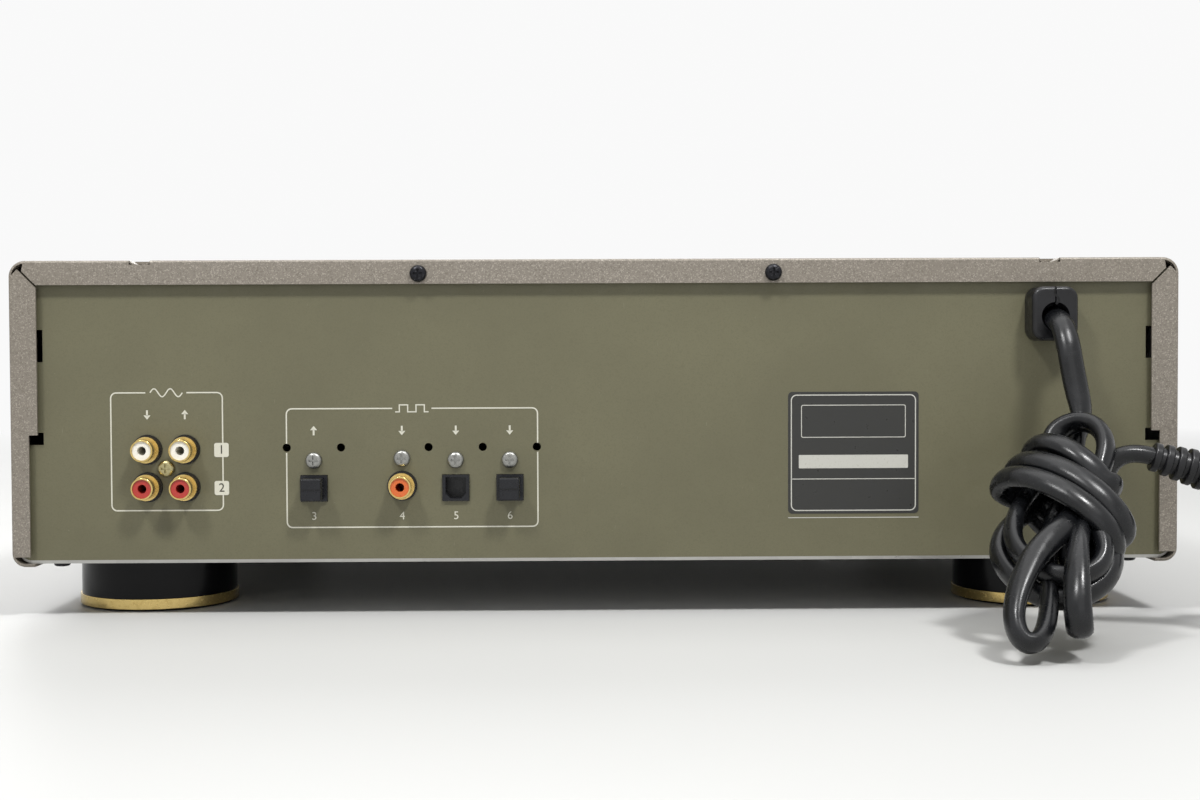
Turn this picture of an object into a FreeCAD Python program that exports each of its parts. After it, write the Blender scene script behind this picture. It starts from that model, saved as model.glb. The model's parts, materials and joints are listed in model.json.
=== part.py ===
"""Minidisc deck: a full-width recorder in a folded steel case on four round feet.

Frame: +Z up, the front panel faces -Y, the socket panel faces +Y, +X is to the right seen from the front.
The origin is at the middle of the deck's footprint, on the surface that its feet stand on. Sizes are in mm.
"""

import FreeCAD, Part
import math
import os

V = FreeCAD.Vector

# Overall sizes
WIDTH = 434.0  # outside of the cover
BODY_HEIGHT = 112.5  # underside of the chassis to the top of the cover
FOOT_HEIGHT = 20.5
BODY_DEPTH = 300.0  # face of the front panel to the outside of the rear panel
SLIDE_GAP = 0.3  # between pieces that are fitted beside each other
RUN_GAP = 0.08  # round a shaft that turns
COVER_SHEET = 1.0
CHASSIS_SHEET = 1.2
REAR_SHEET = 1.2
BOARD_THICKNESS = 1.6

# Cover
COVER_TOP_RADIUS = 6.0
COVER_CURL_RADIUS = 5.0
COVER_LIP = 8.3  # how far the curled lower edge reaches in under the chassis
FLANGE_STANDOFF = 2.0  # rear flange to rear panel
TOP_FLANGE = 9.0
SIDE_FLANGE = 10.0
LOWER_SIDE_FLANGE = 6.8
FLANGE_STEP_HEIGHT = 48.0  # above the chassis underside
FLANGE_FOOT_HEIGHT = 2.7
MITRE_GAP = 1.0
BEND_RADIUS = 0.9
NOTCH_WIDTH = 7.8
NOTCH_DEPTH = 1.6
NOTCH_LENGTH = 9.0
NOTCH_SHEET = 0.7  # thinned where it is pressed down
NOTCH_SIDE_INSET = 48.3  # notch centre to the cover's side
VENT_COUNT = 9
VENT_PITCH = 9.0
VENT_LENGTH = 60.0
VENT_WIDTH = 3.0
FLOOR_VENT_LENGTH = 24.0
FLOOR_VENT_GAP = 10.0  # floor vents to the transformer
CHASSIS_WALL_DROP = 12.0  # inside of the cover's top to the tray's rim
POST_RADIUS = 5.0  # of the dimples that carry the main board
REAR_LOWER_FOLD = 12.0
REAR_UPPER_FOLD = 10.0

# Front panel and the frame behind it
PANEL_THICKNESS = 5.0
PANEL_CHAMFER = 1.0
FRAME_DEPTH = 16.0
FRAME_WALL = 2.0
FRAME_WEB_START = 2.3  # panel back to the frame's web
FRAME_WEB = 2.0
BOARD_START = 10.0  # panel back to the control board
PILLAR_RADIUS = 3.0
PILLAR_HEIGHT = 14.0  # of their middles
PILLAR_INSET = 20.0
PILLAR_X = 60.0
CONTROL_BOARD_INSET = 12.0

# Display and disc slot
WINDOW_WIDTH = 156.0
WINDOW_HEIGHT = 35.0
WINDOW_THICKNESS = 2.5
DISPLAY_CENTRE_HEIGHT = 47.0
TUBE_WIDTH = 130.0
TUBE_HEIGHT = 24.0
TUBE_THICKNESS = 4.5
SLOT_CENTRE_HEIGHT = 86.0
SLOT_WIDTH = 74.4
SLOT_HEIGHT = 7.4
BEZEL_WIDTH = 98.0
BEZEL_HEIGHT = 21.0
BEZEL_DEPTH = 13.0
BEZEL_FACE = 2.0
DOOR_THICKNESS = 1.5
DOOR_OVERLAP = 1.8  # how far the flap reaches above the slot, to its hinge
DOOR_PIN_RADIUS = 0.7

# Push buttons: name, centre X, height of the centre, width, height
BUTTON_TRAVEL = 0.8
POWER_TRAVEL = 3.0
BUTTON_PROUD = 1.6
BUTTON_FLANGE = 1.0
BUTTON_FLANGE_RIM = 1.0
PLUNGER_RADIUS = 1.6
TRANSPORT_PITCH = 25.0
TRANSPORT_SIDE_INSET = 36.0  # last button's centre to the cover's side
TRANSPORT_WIDTH = 20.0
TRANSPORT_HEIGHT = 9.0
FUNCTION_PITCH = 27.0
FUNCTION_HEIGHT = 17.0
FUNCTION_WIDTH = 15.0
FUNCTION_BUTTON_HEIGHT = 5.0
EJECT_GAP = 9.0  # from the slot's surround
EJECT_WIDTH = 16.0
EJECT_HEIGHT = 7.0
POWER_SIDE_INSET = 31.0
POWER_HEIGHT = 34.0
POWER_WIDTH = 26.0
POWER_BUTTON_HEIGHT = 12.0
TACT_SIDE = 6.0
TACT_HEIGHT = 3.5

# Knobs: big one for the record level, middle one for track search, small one for the headphones
KNOB_PROUD = 17.0
KNOB_GAP = 0.6
RECORD_KNOB_RADIUS = 20.0
RECORD_KNOB_SIDE_INSET = 36.0
RECORD_KNOB_HEIGHT = 42.0
TRACK_KNOB_RADIUS = 13.0
TRACK_KNOB_STEP = 57.0  # from the record level knob
TRACK_KNOB_HEIGHT = 42.0
TRACK_KNOB_PROUD = 12.0
PHONES_KNOB_RADIUS = 7.5
PHONES_KNOB_STEP = 32.0  # from the headphone socket
PHONES_KNOB_HEIGHT = 22.0
PHONES_KNOB_PROUD = 11.0
KNOB_SHAFT_RADIUS = 3.0
SHAFT_SINK = 4.5  # how far a knob's shaft runs in its control
CONTROL_SIDE = 11.0
CONTROL_DEPTH = 5.5

# Headphone socket and timer switch
PHONES_SIDE_INSET = 67.0
PHONES_RADIUS = 3.25
PHONES_COLLAR_RADIUS = 6.4
PHONES_COLLAR_PROUD = 1.2
PHONES_BODY_DEPTH = 22.0
PHONES_BODY_SIDE = 13.0
SLIDER_HEIGHT = 46.0
SLIDER_TRAVEL = 4.0  # each way from the middle
SLIDER_WIDTH = 5.0
SLIDER_TALL = 4.0
SLIDER_PROUD = 2.0

# Rear sockets. Heights are above the chassis underside
RCA_SIDE_INSET = 49.8  # outer jacks to the cover's side
RCA_PITCH = 14.0
RCA_TOP_HEIGHT = 42.3
RCA_SHELL_RADIUS = 4.15
RCA_BORE_RADIUS = 3.5
RCA_STEP_RADIUS = 4.9
RCA_STEP_LENGTH = 2.4
RCA_RING_RADIUS = 5.5
RCA_RING_PROUD = 0.8
RCA_PROUD = 9.0
RCA_PIN_RADIUS = 1.65
RCA_BLOCK_DEPTH = 14.0
SHELL_SINK = 8.0  # how deep shells, cores and screws run in the mouldings
PRESS_GAP = 0.02
CORE_RECESS = 0.5  # the core's end inside the shell's mouth
CORE_FLOOR = 2.0
MOULDING_WIDTH = 13.0
MOULDING_EAR = 5.0  # over the screw's middle
COAXIAL_X = 72.6
COAXIAL_HEIGHT = 28.4
OPTICAL_OUT_X = 105.4
OPTICAL_IN_X = 32.4  # the one nearest the middle
SPARE_HOLE_OFFSET = 10.1  # each side of an optical socket
OPTICAL_HEIGHT = 27.6
OPTICAL_SIDE = 10.0
OPTICAL_TALL = 9.8
OPTICAL_PROUD = 1.0
OPTICAL_DEPTH = 15.0
OPTICAL_BORE = 7.6
OPTICAL_BORE_DEPTH = 9.5
OPTICAL_HEAD = 8.0  # the moulding's height over the mouth
OPTICAL_KEY = 1.9  # cut corners of the socket's mouth
CAP_PROUD = 9.0
CAP_SIDE = 7.6
CAP_TALL = 8.2
CAP_PLUG = 6.6
CAP_PLUG_LENGTH = 7.0
SPARE_HOLE_HEIGHT = 42.8
SPARE_HOLE_RADIUS = 1.55
TERMINAL_SCREW_HEIGHT = 38.0
TERMINAL_SCREW_RADIUS = 3.1
EDGE_SLOT_HEIGHT = 81.0
EDGE_SLOT_TALL = 12.0
STEP_SLOT_HEIGHT = 46.5
STEP_SLOT_TALL = 4.6
EDGE_SLOT_INSET = 5.0
EDGE_SLOT_REACH = 11.4  # from the cover's outside to the slot's inner end

# Feet
FOOT_RADIUS = 30.0
FOOT_WALL = 3.0
FOOT_RING_RADIUS = 30.6
FOOT_RING_HEIGHT = 3.9
FOOT_PAD_PROUD = 0.9
FOOT_PAD_RADIUS = 28.5
FOOT_PAD_HOLE = 9.0
FOOT_PAD_THICKNESS = 2.4
FOOT_BOSS_RADIUS = 6.0
FOOT_BOSS_HEIGHT = 4.0
FOOT_RING_SEAT = 0.4
FOOT_SIDE_INSET = 43.0  # foot centre to the cover's side
FOOT_REAR_INSET = 44.0  # foot centre to the rear panel
FOOT_FRONT_INSET = 52.0  # foot centre to the front panel's face

# Screws
COVER_SCREW_RADIUS = 3.15
COVER_SCREW_HEAD = 2.2
SIDE_SCREW_RADIUS = 3.55
SIDE_SCREW_LENGTH = 7.0
LOW_HEAD = 1.8  # under the deck and beside the sockets
LOW_SCREW_LENGTH = 5.0
SCREW_SHANK = 1.5
SCREW_HOLE = 1.7
REAR_SCREW_X = 65.8
BOSS_RADIUS = 3.1
REAR_SCREW_DROP = 5.2  # below the top of the cover
SIDE_SCREW_HEIGHT = 58.0
SIDE_SCREW_YS = (-70.0, 90.0)
UNDER_SCREW_INSET = 15.5
UNDER_SCREW_DEPTH = 6.0

# Disc mechanism. Levels are measured down from the middle of the slot
DISC_WIDTH = 72.0
DISC_DEPTH = 68.0
DISC_THICKNESS = 5.0
HOLDER_SHEET = 1.0
HOLDER_PLAY = 0.3
HOLDER_DROP = 5.0
HOLDER_LIP = 5.0
HOLDER_PIN_RADIUS = 1.2
MECH_START = 5.0  # chassis front wall to the disc holder
MECH_PLATE_DROP = 19.0
MECH_PLATE = 1.6
MECH_WALL = 1.5
MECH_WALL_HALF = 5.0  # each side of a pin
MECH_WALL_RISE = 3.0
MECH_HALF_WIDTH = 52.0
MECH_LEG = 7.0
MECH_OVERHANG = 8.0  # how far the plate runs on behind the disc
HOLDER_SLACK = 2.0  # behind the disc
TURNTABLE_RADIUS = 8.5
TURNTABLE_TOP_DROP = 6.3
SPINDLE_MOTOR_RADIUS = 9.0
SPINDLE_MOTOR_HEIGHT = 5.4
ROD_RADIUS = 1.5
ROD_OFFSET = 13.0
ROD_DROP = 14.0
PICKUP_TRAVEL = 16.0
PICKUP_START = 14.5  # lens to the spindle, at the disc's first track
PICKUP_LENGTH = 19.0
PICKUP_FRONT = 4.5  # lens to the end of the pickup that faces the spindle
PICKUP_HALF_DEPTH = 10.0
PICKUP_TOP_DROP = 10.0
PICKUP_HEIGHT = 6.5
SCREW_OFFSET = 18.0
LEAD_SCREW_RUN = 4.3  # how far the lead screw runs into its motor
SLED_MOTOR_RADIUS = 6.0
SLED_MOTOR_LENGTH = 15.0
ARM_WIDTH = 8.0
ARM_CLEAR = 0.8  # each side of the arm in the holder's window
LENS_ROOM = 8.0  # each side of the lens's path
ARM_THICKNESS = 1.2
ARM_PIVOT_BEHIND = 40.5  # spindle to the head arm's hinge
ARM_PIVOT_RISE = 6.5
ARM_PIN_RADIUS = 1.0

# Boards and power supply
BOARD_HEIGHT = 8.0
BOARD_LEFT = -88.0
BOARD_SIDE_GAP = 11.0  # board's edge to the cover's side
BOARD_NOTCH = 12.0  # clear of the rear panel's fold
BOARD_LENGTH = 172.0
TRANSFORMER_SIDE_INSET = 67.0
TRANSFORMER_WIDTH = 62.0
TRANSFORMER_DEPTH = 52.0
TRANSFORMER_HEIGHT = 50.0
TRANSFORMER_Y = 66.0
CAPACITOR_RADIUS = 8.0
CAPACITOR_HEIGHT = 26.0
CAPACITOR_PITCH = 22.0
CAPACITOR_COUNT = 4
SMALL_CAPACITOR_RADIUS = 3.2
SMALL_CAPACITOR_HEIGHT = 11.5
SMALL_CAPACITOR_PITCH = 11.0
SMALL_CAPACITOR_COUNT = 6
CAPACITOR_ROW = 38.0  # behind the rear panel
CHIP_SIDE = 18.0
CHIP_HEIGHT = 2.6
CHIP_PITCH = 52.0
CHIP_ROW_PITCH = 44.0
CHIP_ROW = 70.0
CHIP_SIDE_INSET = 62.0
HEAT_SINK_WIDTH = 60.0
HEAT_SINK_HEIGHT = 34.0
HEAT_SINK_PLATE = 3.0
HEAT_SINK_FIN = 1.4
HEAT_SINK_REACH = 14.0
HEAT_SINK_PITCH = 7.0
HEAT_SINK_ROW = 84.0
HEAT_SINK_INSET = 46.0
CONNECTOR_WIDTH = 28.0
CONNECTOR_SIDE = 6.0
CONNECTOR_PITCH = 130.0
CONNECTOR_INSET = 56.0
STRAP_REACH = 8.0
STRAP_THICKNESS = 3.0

# Mains cord: an oval two-core lead, tied up in a hank that leans from the floor towards the rear panel
CORD_RADIUS = 3.4
BUSHING_SIDE_INSET = 48.3
BUSHING_HEIGHT = 91.5
BUSHING_WIDTH = 17.0
BUSHING_TALL = 20.0
BUSHING_PROUD = 11.0
BUSHING_NECK = 12.0
NECK_REACH = 8.0  # inside the rear panel
BARB_LENGTH = 5.0
BARB_HALF = 4.0
BARB_REACH = 1.2
BUSHING_ROUND = 4.5
BUSHING_SLIT = 0.5
CORD_EXIT_DROP = 1.0  # below the middle of the bushing
BOOT_LENGTH = 32.0
BOOT_RADII = (4.6, 8.2)
BOOT_RIBS = 8
RIB_DEPTH = 1.2
RIB_SHARE = 0.66  # of the pitch; the rest is groove
RIB_ROUND = 0.6
PLUG_ROUND = 5.0
PLUG_LENGTH = 42.0
PLUG_WIDTH = 27.0
PLUG_TALL = 18.0
BLADE_LENGTH = 18.0
BLADE_WIDTH = 6.3
BLADE_THICKNESS = 1.5
BLADE_SPACING = 12.7

# Planes worked out from the sizes above
TOTAL_DEPTH = KNOB_PROUD + BODY_DEPTH + BUSHING_PROUD
Y_FACE = -TOTAL_DEPTH / 2 + KNOB_PROUD
Y_PANEL = Y_FACE + PANEL_THICKNESS  # back of the front panel
Y_WALL = Y_PANEL + FRAME_DEPTH  # front wall of the chassis
Y_REAR = Y_FACE + BODY_DEPTH
Y_FLANGE = Y_REAR + FLANGE_STANDOFF  # inside of the cover's rear flange
Y_BOARD = Y_PANEL + BOARD_START
Z_BASE = FOOT_HEIGHT
Z_FLOOR = Z_BASE + CHASSIS_SHEET  # inside of the chassis floor
Z_TOP = Z_BASE + BODY_HEIGHT
Z_SLOT = Z_BASE + SLOT_CENTRE_HEIGHT
HALF = WIDTH / 2
NOTCH_X = HALF - NOTCH_SIDE_INSET
FOOT_X = HALF - FOOT_SIDE_INSET
RCA_X = HALF - RCA_SIDE_INSET
BUSHING_X = -HALF + BUSHING_SIDE_INSET
POWER_X = -HALF + POWER_SIDE_INSET
PHONES_X = -HALF + PHONES_SIDE_INSET
PHONES_KNOB_X = PHONES_X + PHONES_KNOB_STEP
SLIDER_X = PHONES_KNOB_X
RECORD_KNOB_X = HALF - RECORD_KNOB_SIDE_INSET
TRACK_KNOB_X = RECORD_KNOB_X - TRACK_KNOB_STEP
TRANSPORT_START = HALF - TRANSPORT_SIDE_INSET - TRANSPORT_PITCH * 3
EJECT_X = BEZEL_WIDTH / 2 + EJECT_GAP + EJECT_WIDTH / 2
OPTICAL_XS = [OPTICAL_OUT_X, OPTICAL_IN_X + 2 * SPARE_HOLE_OFFSET, OPTICAL_IN_X]
TRANSFORMER_X = -HALF + TRANSFORMER_SIDE_INSET
BOARD_RIGHT = HALF - BOARD_SIDE_GAP
TRAY_HALF = HALF - COVER_SHEET - SLIDE_GAP
Y_MECH = Y_WALL + CHASSIS_SHEET + MECH_START
Y_SPINDLE = Y_MECH + DISC_DEPTH / 2 + HOLDER_SLACK


def box(x0, x1, y0, y1, z0, z1):
    return Part.makeBox(x1 - x0, y1 - y0, z1 - z0, V(x0, y0, z0))


def rod(x, y, z, radius, length, axis):
    """A cylinder that starts at a point and runs along an axis."""
    return Part.makeCylinder(radius, length, V(x, y, z), V(*axis))


ALONG_X, ALONG_Y, ALONG_Z = (1, 0, 0), (0, 1, 0), (0, 0, 1)


def rounded_outline(a0, a1, b0, b1, radii, place):
    """A closed wire round a rectangle whose corners have radii, from the low corner anticlockwise."""
    corners = [(a0, b0), (a1, b0), (a1, b1), (a0, b1)]
    steps = [(1, 0), (0, 1), (-1, 0), (0, -1)]
    edges, last = [], None
    starts, ends, mids = [], [], []
    for i, (a, b) in enumerate(corners):
        r, out, back = radii[i], steps[i], steps[i - 1]
        starts.append((a - back[0] * r, b - back[1] * r))
        ends.append((a + out[0] * r, b + out[1] * r))
        share = 1 - math.sqrt(0.5)
        mids.append((a + (out[0] - back[0]) * r * share, b + (out[1] - back[1]) * r * share))
    for i in range(4):
        if last is not None:
            edges.append(Part.makeLine(place(*last), place(*starts[i])))
        if radii[i] > 0:
            edges.append(Part.Arc(place(*starts[i]), place(*mids[i]), place(*ends[i])).toShape())
        last = ends[i]
    edges.append(Part.makeLine(place(*last), place(*starts[0])))
    return Part.Wire(edges)


def plate_xz(x0, x1, z0, z1, y0, y1, radius=0.0, radii=None):
    """A plate that stands across the deck, with rounded corners."""
    wire = rounded_outline(x0, x1, z0, z1, radii or [radius] * 4, lambda a, b: V(a, y0, b))
    return Part.Face(wire).extrude(V(0, y1 - y0, 0))


def plate_xy(x0, x1, y0, y1, z0, z1, radius=0.0):
    """A plate that lies flat, with rounded corners."""
    wire = rounded_outline(x0, x1, y0, y1, [radius] * 4, lambda a, b: V(a, b, z0))
    return Part.Face(wire).extrude(V(0, 0, z1 - z0))


def polygon_xz(points, y0, y1):
    corners = [V(x, y0, z) for x, z in points]
    return Part.Face(Part.makePolygon(corners + corners[:1])).extrude(V(0, y1 - y0, 0))


def join(pieces):
    return pieces[0].multiFuse(pieces[1:]).removeSplitter() if len(pieces) > 1 else pieces[0]


def less(piece, tools):
    return piece.cut(tools[0].multiFuse(tools[1:]) if len(tools) > 1 else tools[0])


def mirrored(piece):
    return piece.mirror(V(0, 0, 0), V(1, 0, 0))


def both_sides(pieces):
    return pieces + [mirrored(p) for p in pieces]


def edges_where(piece, test):
    return [e for e in piece.Edges if test(e)]


def pan_screw(place, direction, head_radius, head_height, length, shank=SCREW_SHANK):
    """A cross-head screw whose head sits on the place and stands out along the direction."""
    head = Part.makeCylinder(head_radius, head_height)
    rim = edges_where(head, lambda e: e.BoundBox.ZMin > head_height - 0.01 and e.Length > 1)
    head = head.makeFillet(head_height * 0.7, rim)
    arm, thin, deep = head_radius * 1.1, head_radius * 0.26, head_height * 0.65
    cross = [
        box(-arm / 2, arm / 2, -thin / 2, thin / 2, head_height - deep, head_height + 1),
        box(-thin / 2, thin / 2, -arm / 2, arm / 2, head_height - deep, head_height + 1),
    ]
    body = less(head, cross).fuse(Part.makeCylinder(shank, length, V(0, 0, -length)))
    turn = FreeCAD.Rotation(V(0, 0, 1), V(*direction))
    return body.transformGeometry(FreeCAD.Placement(V(*place), turn).toMatrix())


def save(name, pieces):
    """Writes one node. Each piece stays a solid of its own."""
    solids = []
    for piece in pieces if isinstance(pieces, list) else [pieces]:
        solids += piece.Solids
    for solid in solids:
        if not solid.isValid() or solid.Volume <= 0:
            print("check the solid in", name, solid.Volume)
    shape = solids[0] if len(solids) == 1 else Part.makeCompound(solids)
    shape.exportStep("parts/" + name + ".step")
    print(f"{name}: {len(solids)} solids, {sum(s.Volume for s in solids) / 1000:.2f} cm3")


def cover_profile(inset, y0, y1):
    """The outside of the wrap-round cover, taken in by the inset, from y0 to y1."""
    low = Z_BASE - COVER_SHEET
    top, curl = COVER_TOP_RADIUS - inset, COVER_CURL_RADIUS - inset
    return plate_xz(
        -HALF + inset, HALF - inset, low + inset, Z_TOP - inset, y0, y1, radii=[curl, curl, top, top]
    )


def notch_tab(x):
    """The pressed-down dish that shows in each notch of the cover's rear bend."""
    half = NOTCH_WIDTH / 2
    dish = []
    for low in (NOTCH_DEPTH, NOTCH_DEPTH + NOTCH_SHEET):
        rim = Z_TOP - low + NOTCH_DEPTH
        dish.append([V(x - half, 0, rim), V(x, 0, Z_TOP - low), V(x + half, 0, rim)])
    upper, lower = dish
    edges = [
        Part.Arc(*upper).toShape(),
        Part.makeLine(upper[2], lower[2]),
        Part.Arc(*lower).toShape(),
        Part.makeLine(lower[0], upper[0]),
    ]
    face = Part.Face(Part.Wire(edges))
    face.translate(V(0, Y_FLANGE + COVER_SHEET - NOTCH_LENGTH, 0))
    return face.extrude(V(0, NOTCH_LENGTH - BEND_RADIUS, 0))


def top_cover():
    """Top and sides in one sheet, curled in under the chassis and flanged at the rear."""
    y0, y1 = Y_PANEL + SLIDE_GAP, Y_FLANGE + COVER_SHEET
    shell = cover_profile(0, y0, y1).cut(cover_profile(COVER_SHEET, y0 - 1, y1 + 1))
    below = Z_BASE - COVER_SHEET - 1
    shell = shell.cut(box(-HALF + COVER_LIP, HALF - COVER_LIP, y0 - 1, y1 + 1, below, Z_BASE + 1))
    step, foot = Z_BASE + FLANGE_STEP_HEIGHT, Z_BASE + FLANGE_FOOT_HEIGHT
    skin = COVER_SHEET / 2
    reach = COVER_TOP_RADIUS - 0.5
    top_flange = polygon_xz(
        [
            (-HALF + reach, Z_TOP - skin),
            (HALF - reach, Z_TOP - skin),
            (HALF - reach + 0.6, Z_TOP - reach + 1.6),
            (HALF - SIDE_FLANGE, Z_TOP - TOP_FLANGE),
            (-HALF + SIDE_FLANGE, Z_TOP - TOP_FLANGE),
            (-HALF + reach - 0.6, Z_TOP - reach + 1.6),
        ],
        Y_FLANGE,
        y1,
    )
    high = Z_TOP - TOP_FLANGE - MITRE_GAP
    side_flange = polygon_xz(
        [
            (HALF - skin, foot),
            (HALF - skin, Z_TOP - COVER_TOP_RADIUS),
            (HALF - 3.2, high + SIDE_FLANGE - 3.2),
            (HALF - SIDE_FLANGE, high),
            (HALF - SIDE_FLANGE, step),
            (HALF - LOWER_SIDE_FLANGE, step),
            (HALF - LOWER_SIDE_FLANGE, foot),
        ],
        Y_FLANGE,
        y1,
    )
    cover = join([shell, top_flange] + both_sides([side_flange]))
    rear_rims = edges_where(cover, lambda e: e.BoundBox.YMin > y1 - 0.01 and e.Length > 20)
    bend = [e for e in rear_rims if e.BoundBox.ZMin > Z_TOP - 0.01]
    bend += [e for e in rear_rims if min(abs(e.BoundBox.XMin), abs(e.BoundBox.XMax)) > HALF - 0.01]
    cover = cover.makeFillet(BEND_RADIUS, bend)
    holes = []
    for x in (-REAR_SCREW_X, REAR_SCREW_X):
        holes.append(rod(x, Y_FLANGE - 1, Z_TOP - REAR_SCREW_DROP, SCREW_HOLE, COVER_SHEET + 2, ALONG_Y))
    for y in SIDE_SCREW_YS:
        holes.append(rod(-HALF - 1, y, Z_BASE + SIDE_SCREW_HEIGHT, SCREW_HOLE, WIDTH + 2, ALONG_X))
    holes += vents(TRANSFORMER_Y - VENT_LENGTH / 2, VENT_LENGTH, Z_TOP - 3, Z_TOP + 1)
    for x in (-NOTCH_X, NOTCH_X):
        half = NOTCH_WIDTH / 2
        holes.append(box(x - half, x + half, y1 - NOTCH_LENGTH, y1 + 1, Z_TOP - NOTCH_DEPTH, Z_TOP + 1))
    cover = less(cover, holes)
    tabs = [notch_tab(x) for x in (-NOTCH_X, NOTCH_X)]
    return join([cover] + tabs)


def vents(y, length, z0, z1):
    """A row of rounded slots over or under the transformer, as cutting tools."""
    half = VENT_WIDTH / 2
    found = []
    for i in range(VENT_COUNT):
        x = TRANSFORMER_X + (i - (VENT_COUNT - 1) / 2) * VENT_PITCH
        found.append(plate_xy(x - half, x + half, y, y + length, z0, z1, half * 0.99))
    return found


def board_posts():
    """Places of the raised dimples that carry the main board."""
    inset = 8.0
    xs = (BOARD_LEFT + inset, (BOARD_LEFT + BOARD_RIGHT) / 2, BOARD_RIGHT - inset)
    rear = Y_REAR - REAR_SHEET - SLIDE_GAP
    return [(x, y) for x in xs for y in (rear - BOARD_LENGTH + inset, rear - inset * 4)]


def foot_places():
    ys = (Y_FACE + FOOT_FRONT_INSET, Y_REAR - FOOT_REAR_INSET)
    return [(x, y) for x in (-FOOT_X, FOOT_X) for y in ys]


def under_screw_places():
    x, y = HALF - UNDER_SCREW_INSET, Y_REAR - REAR_SHEET - UNDER_SCREW_DEPTH
    return [(-x, y), (x, y)]


def mech_leg_places():
    inset = MECH_LEG / 2
    xs = (-MECH_HALF_WIDTH + inset, MECH_HALF_WIDTH - inset)
    return [(x, y) for x in xs for y in (Y_MECH + inset, Y_MECH + DISC_DEPTH + MECH_OVERHANG - inset)]


def bottom_chassis():
    """A steel tray: floor, two side walls and a front wall that carries the control panel."""
    wall_top = Z_TOP - COVER_SHEET - CHASSIS_WALL_DROP
    bend, inner = COVER_CURL_RADIUS, COVER_CURL_RADIUS - CHASSIS_SHEET
    half, y1 = TRAY_HALF - CHASSIS_SHEET, Y_REAR - REAR_SHEET
    shell = plate_xz(-TRAY_HALF, TRAY_HALF, Z_BASE, wall_top, Y_WALL, y1, radii=[bend, bend, 0, 0])
    y0 = Y_WALL + CHASSIS_SHEET
    room = plate_xz(-half, half, Z_FLOOR, wall_top + 1, y0, y1 + 1, radii=[inner, inner, 0, 0])
    lip = box(-TRAY_HALF + bend, TRAY_HALF - bend, y1 - 1, Y_REAR, Z_BASE, Z_FLOOR)
    posts = []
    for x, y in board_posts():
        posts.append(Part.makeCone(POST_RADIUS, POST_RADIUS * 0.6, BOARD_HEIGHT, V(x, y, Z_FLOOR)))
    tray = join([shell.cut(room), lip] + posts)
    reach, z = PHONES_BODY_SIDE / 2 + SLIDE_GAP, Z_BASE + PHONES_KNOB_HEIGHT
    holes = [
        box(-BEZEL_WIDTH / 2, BEZEL_WIDTH / 2, Y_WALL - 1, Y_WALL + 3, Z_SLOT - 14, wall_top + 1),
        box(PHONES_X - reach, PHONES_X + reach, Y_WALL - 1, Y_WALL + 3, z - reach, z + reach),
    ]
    for x, y in foot_places() + under_screw_places() + mech_leg_places():
        holes.append(rod(x, y, Z_BASE - 1, SCREW_HOLE, CHASSIS_SHEET + 2, ALONG_Z))
    for x in (-TRAY_HALF - 1, TRAY_HALF - CHASSIS_SHEET - 1):
        for y in SIDE_SCREW_YS:
            holes.append(rod(x, y, Z_BASE + SIDE_SCREW_HEIGHT, SCREW_HOLE, CHASSIS_SHEET + 2, ALONG_X))
    ahead = TRANSFORMER_Y - TRANSFORMER_DEPTH / 2 - FLOOR_VENT_LENGTH - FLOOR_VENT_GAP
    holes += vents(ahead, FLOOR_VENT_LENGTH, Z_BASE - 1, Z_FLOOR + 1)
    return less(tray, holes)


def optical_mouth(x, y0, y1, width, tall, key):
    """A square plug shape whose two lower corners are cut off."""
    low, half = Z_BASE + OPTICAL_HEIGHT - tall / 2, width / 2
    return polygon_xz(
        [
            (x - half + key, low),
            (x + half - key, low),
            (x + half, low + key),
            (x + half, low + tall),
            (x - half, low + tall),
            (x - half, low + key),
        ],
        y0,
        y1,
    )


def rca_places():
    """Four jack centres: X, Z and whether it is the upper row."""
    found = []
    for row in range(2):
        for column in range(2):
            found.append((RCA_X - column * RCA_PITCH, Z_BASE + RCA_TOP_HEIGHT - row * RCA_PITCH))
    return found


def jack_places():
    return rca_places() + [(COAXIAL_X, Z_BASE + COAXIAL_HEIGHT)]


def terminal_screw_places():
    low = Z_BASE + TERMINAL_SCREW_HEIGHT
    places = [(x, low) for x in OPTICAL_XS] + [(COAXIAL_X, low + 0.7)]
    return places + [(RCA_X - RCA_PITCH / 2, Z_BASE + RCA_TOP_HEIGHT - RCA_PITCH / 2)]


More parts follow.
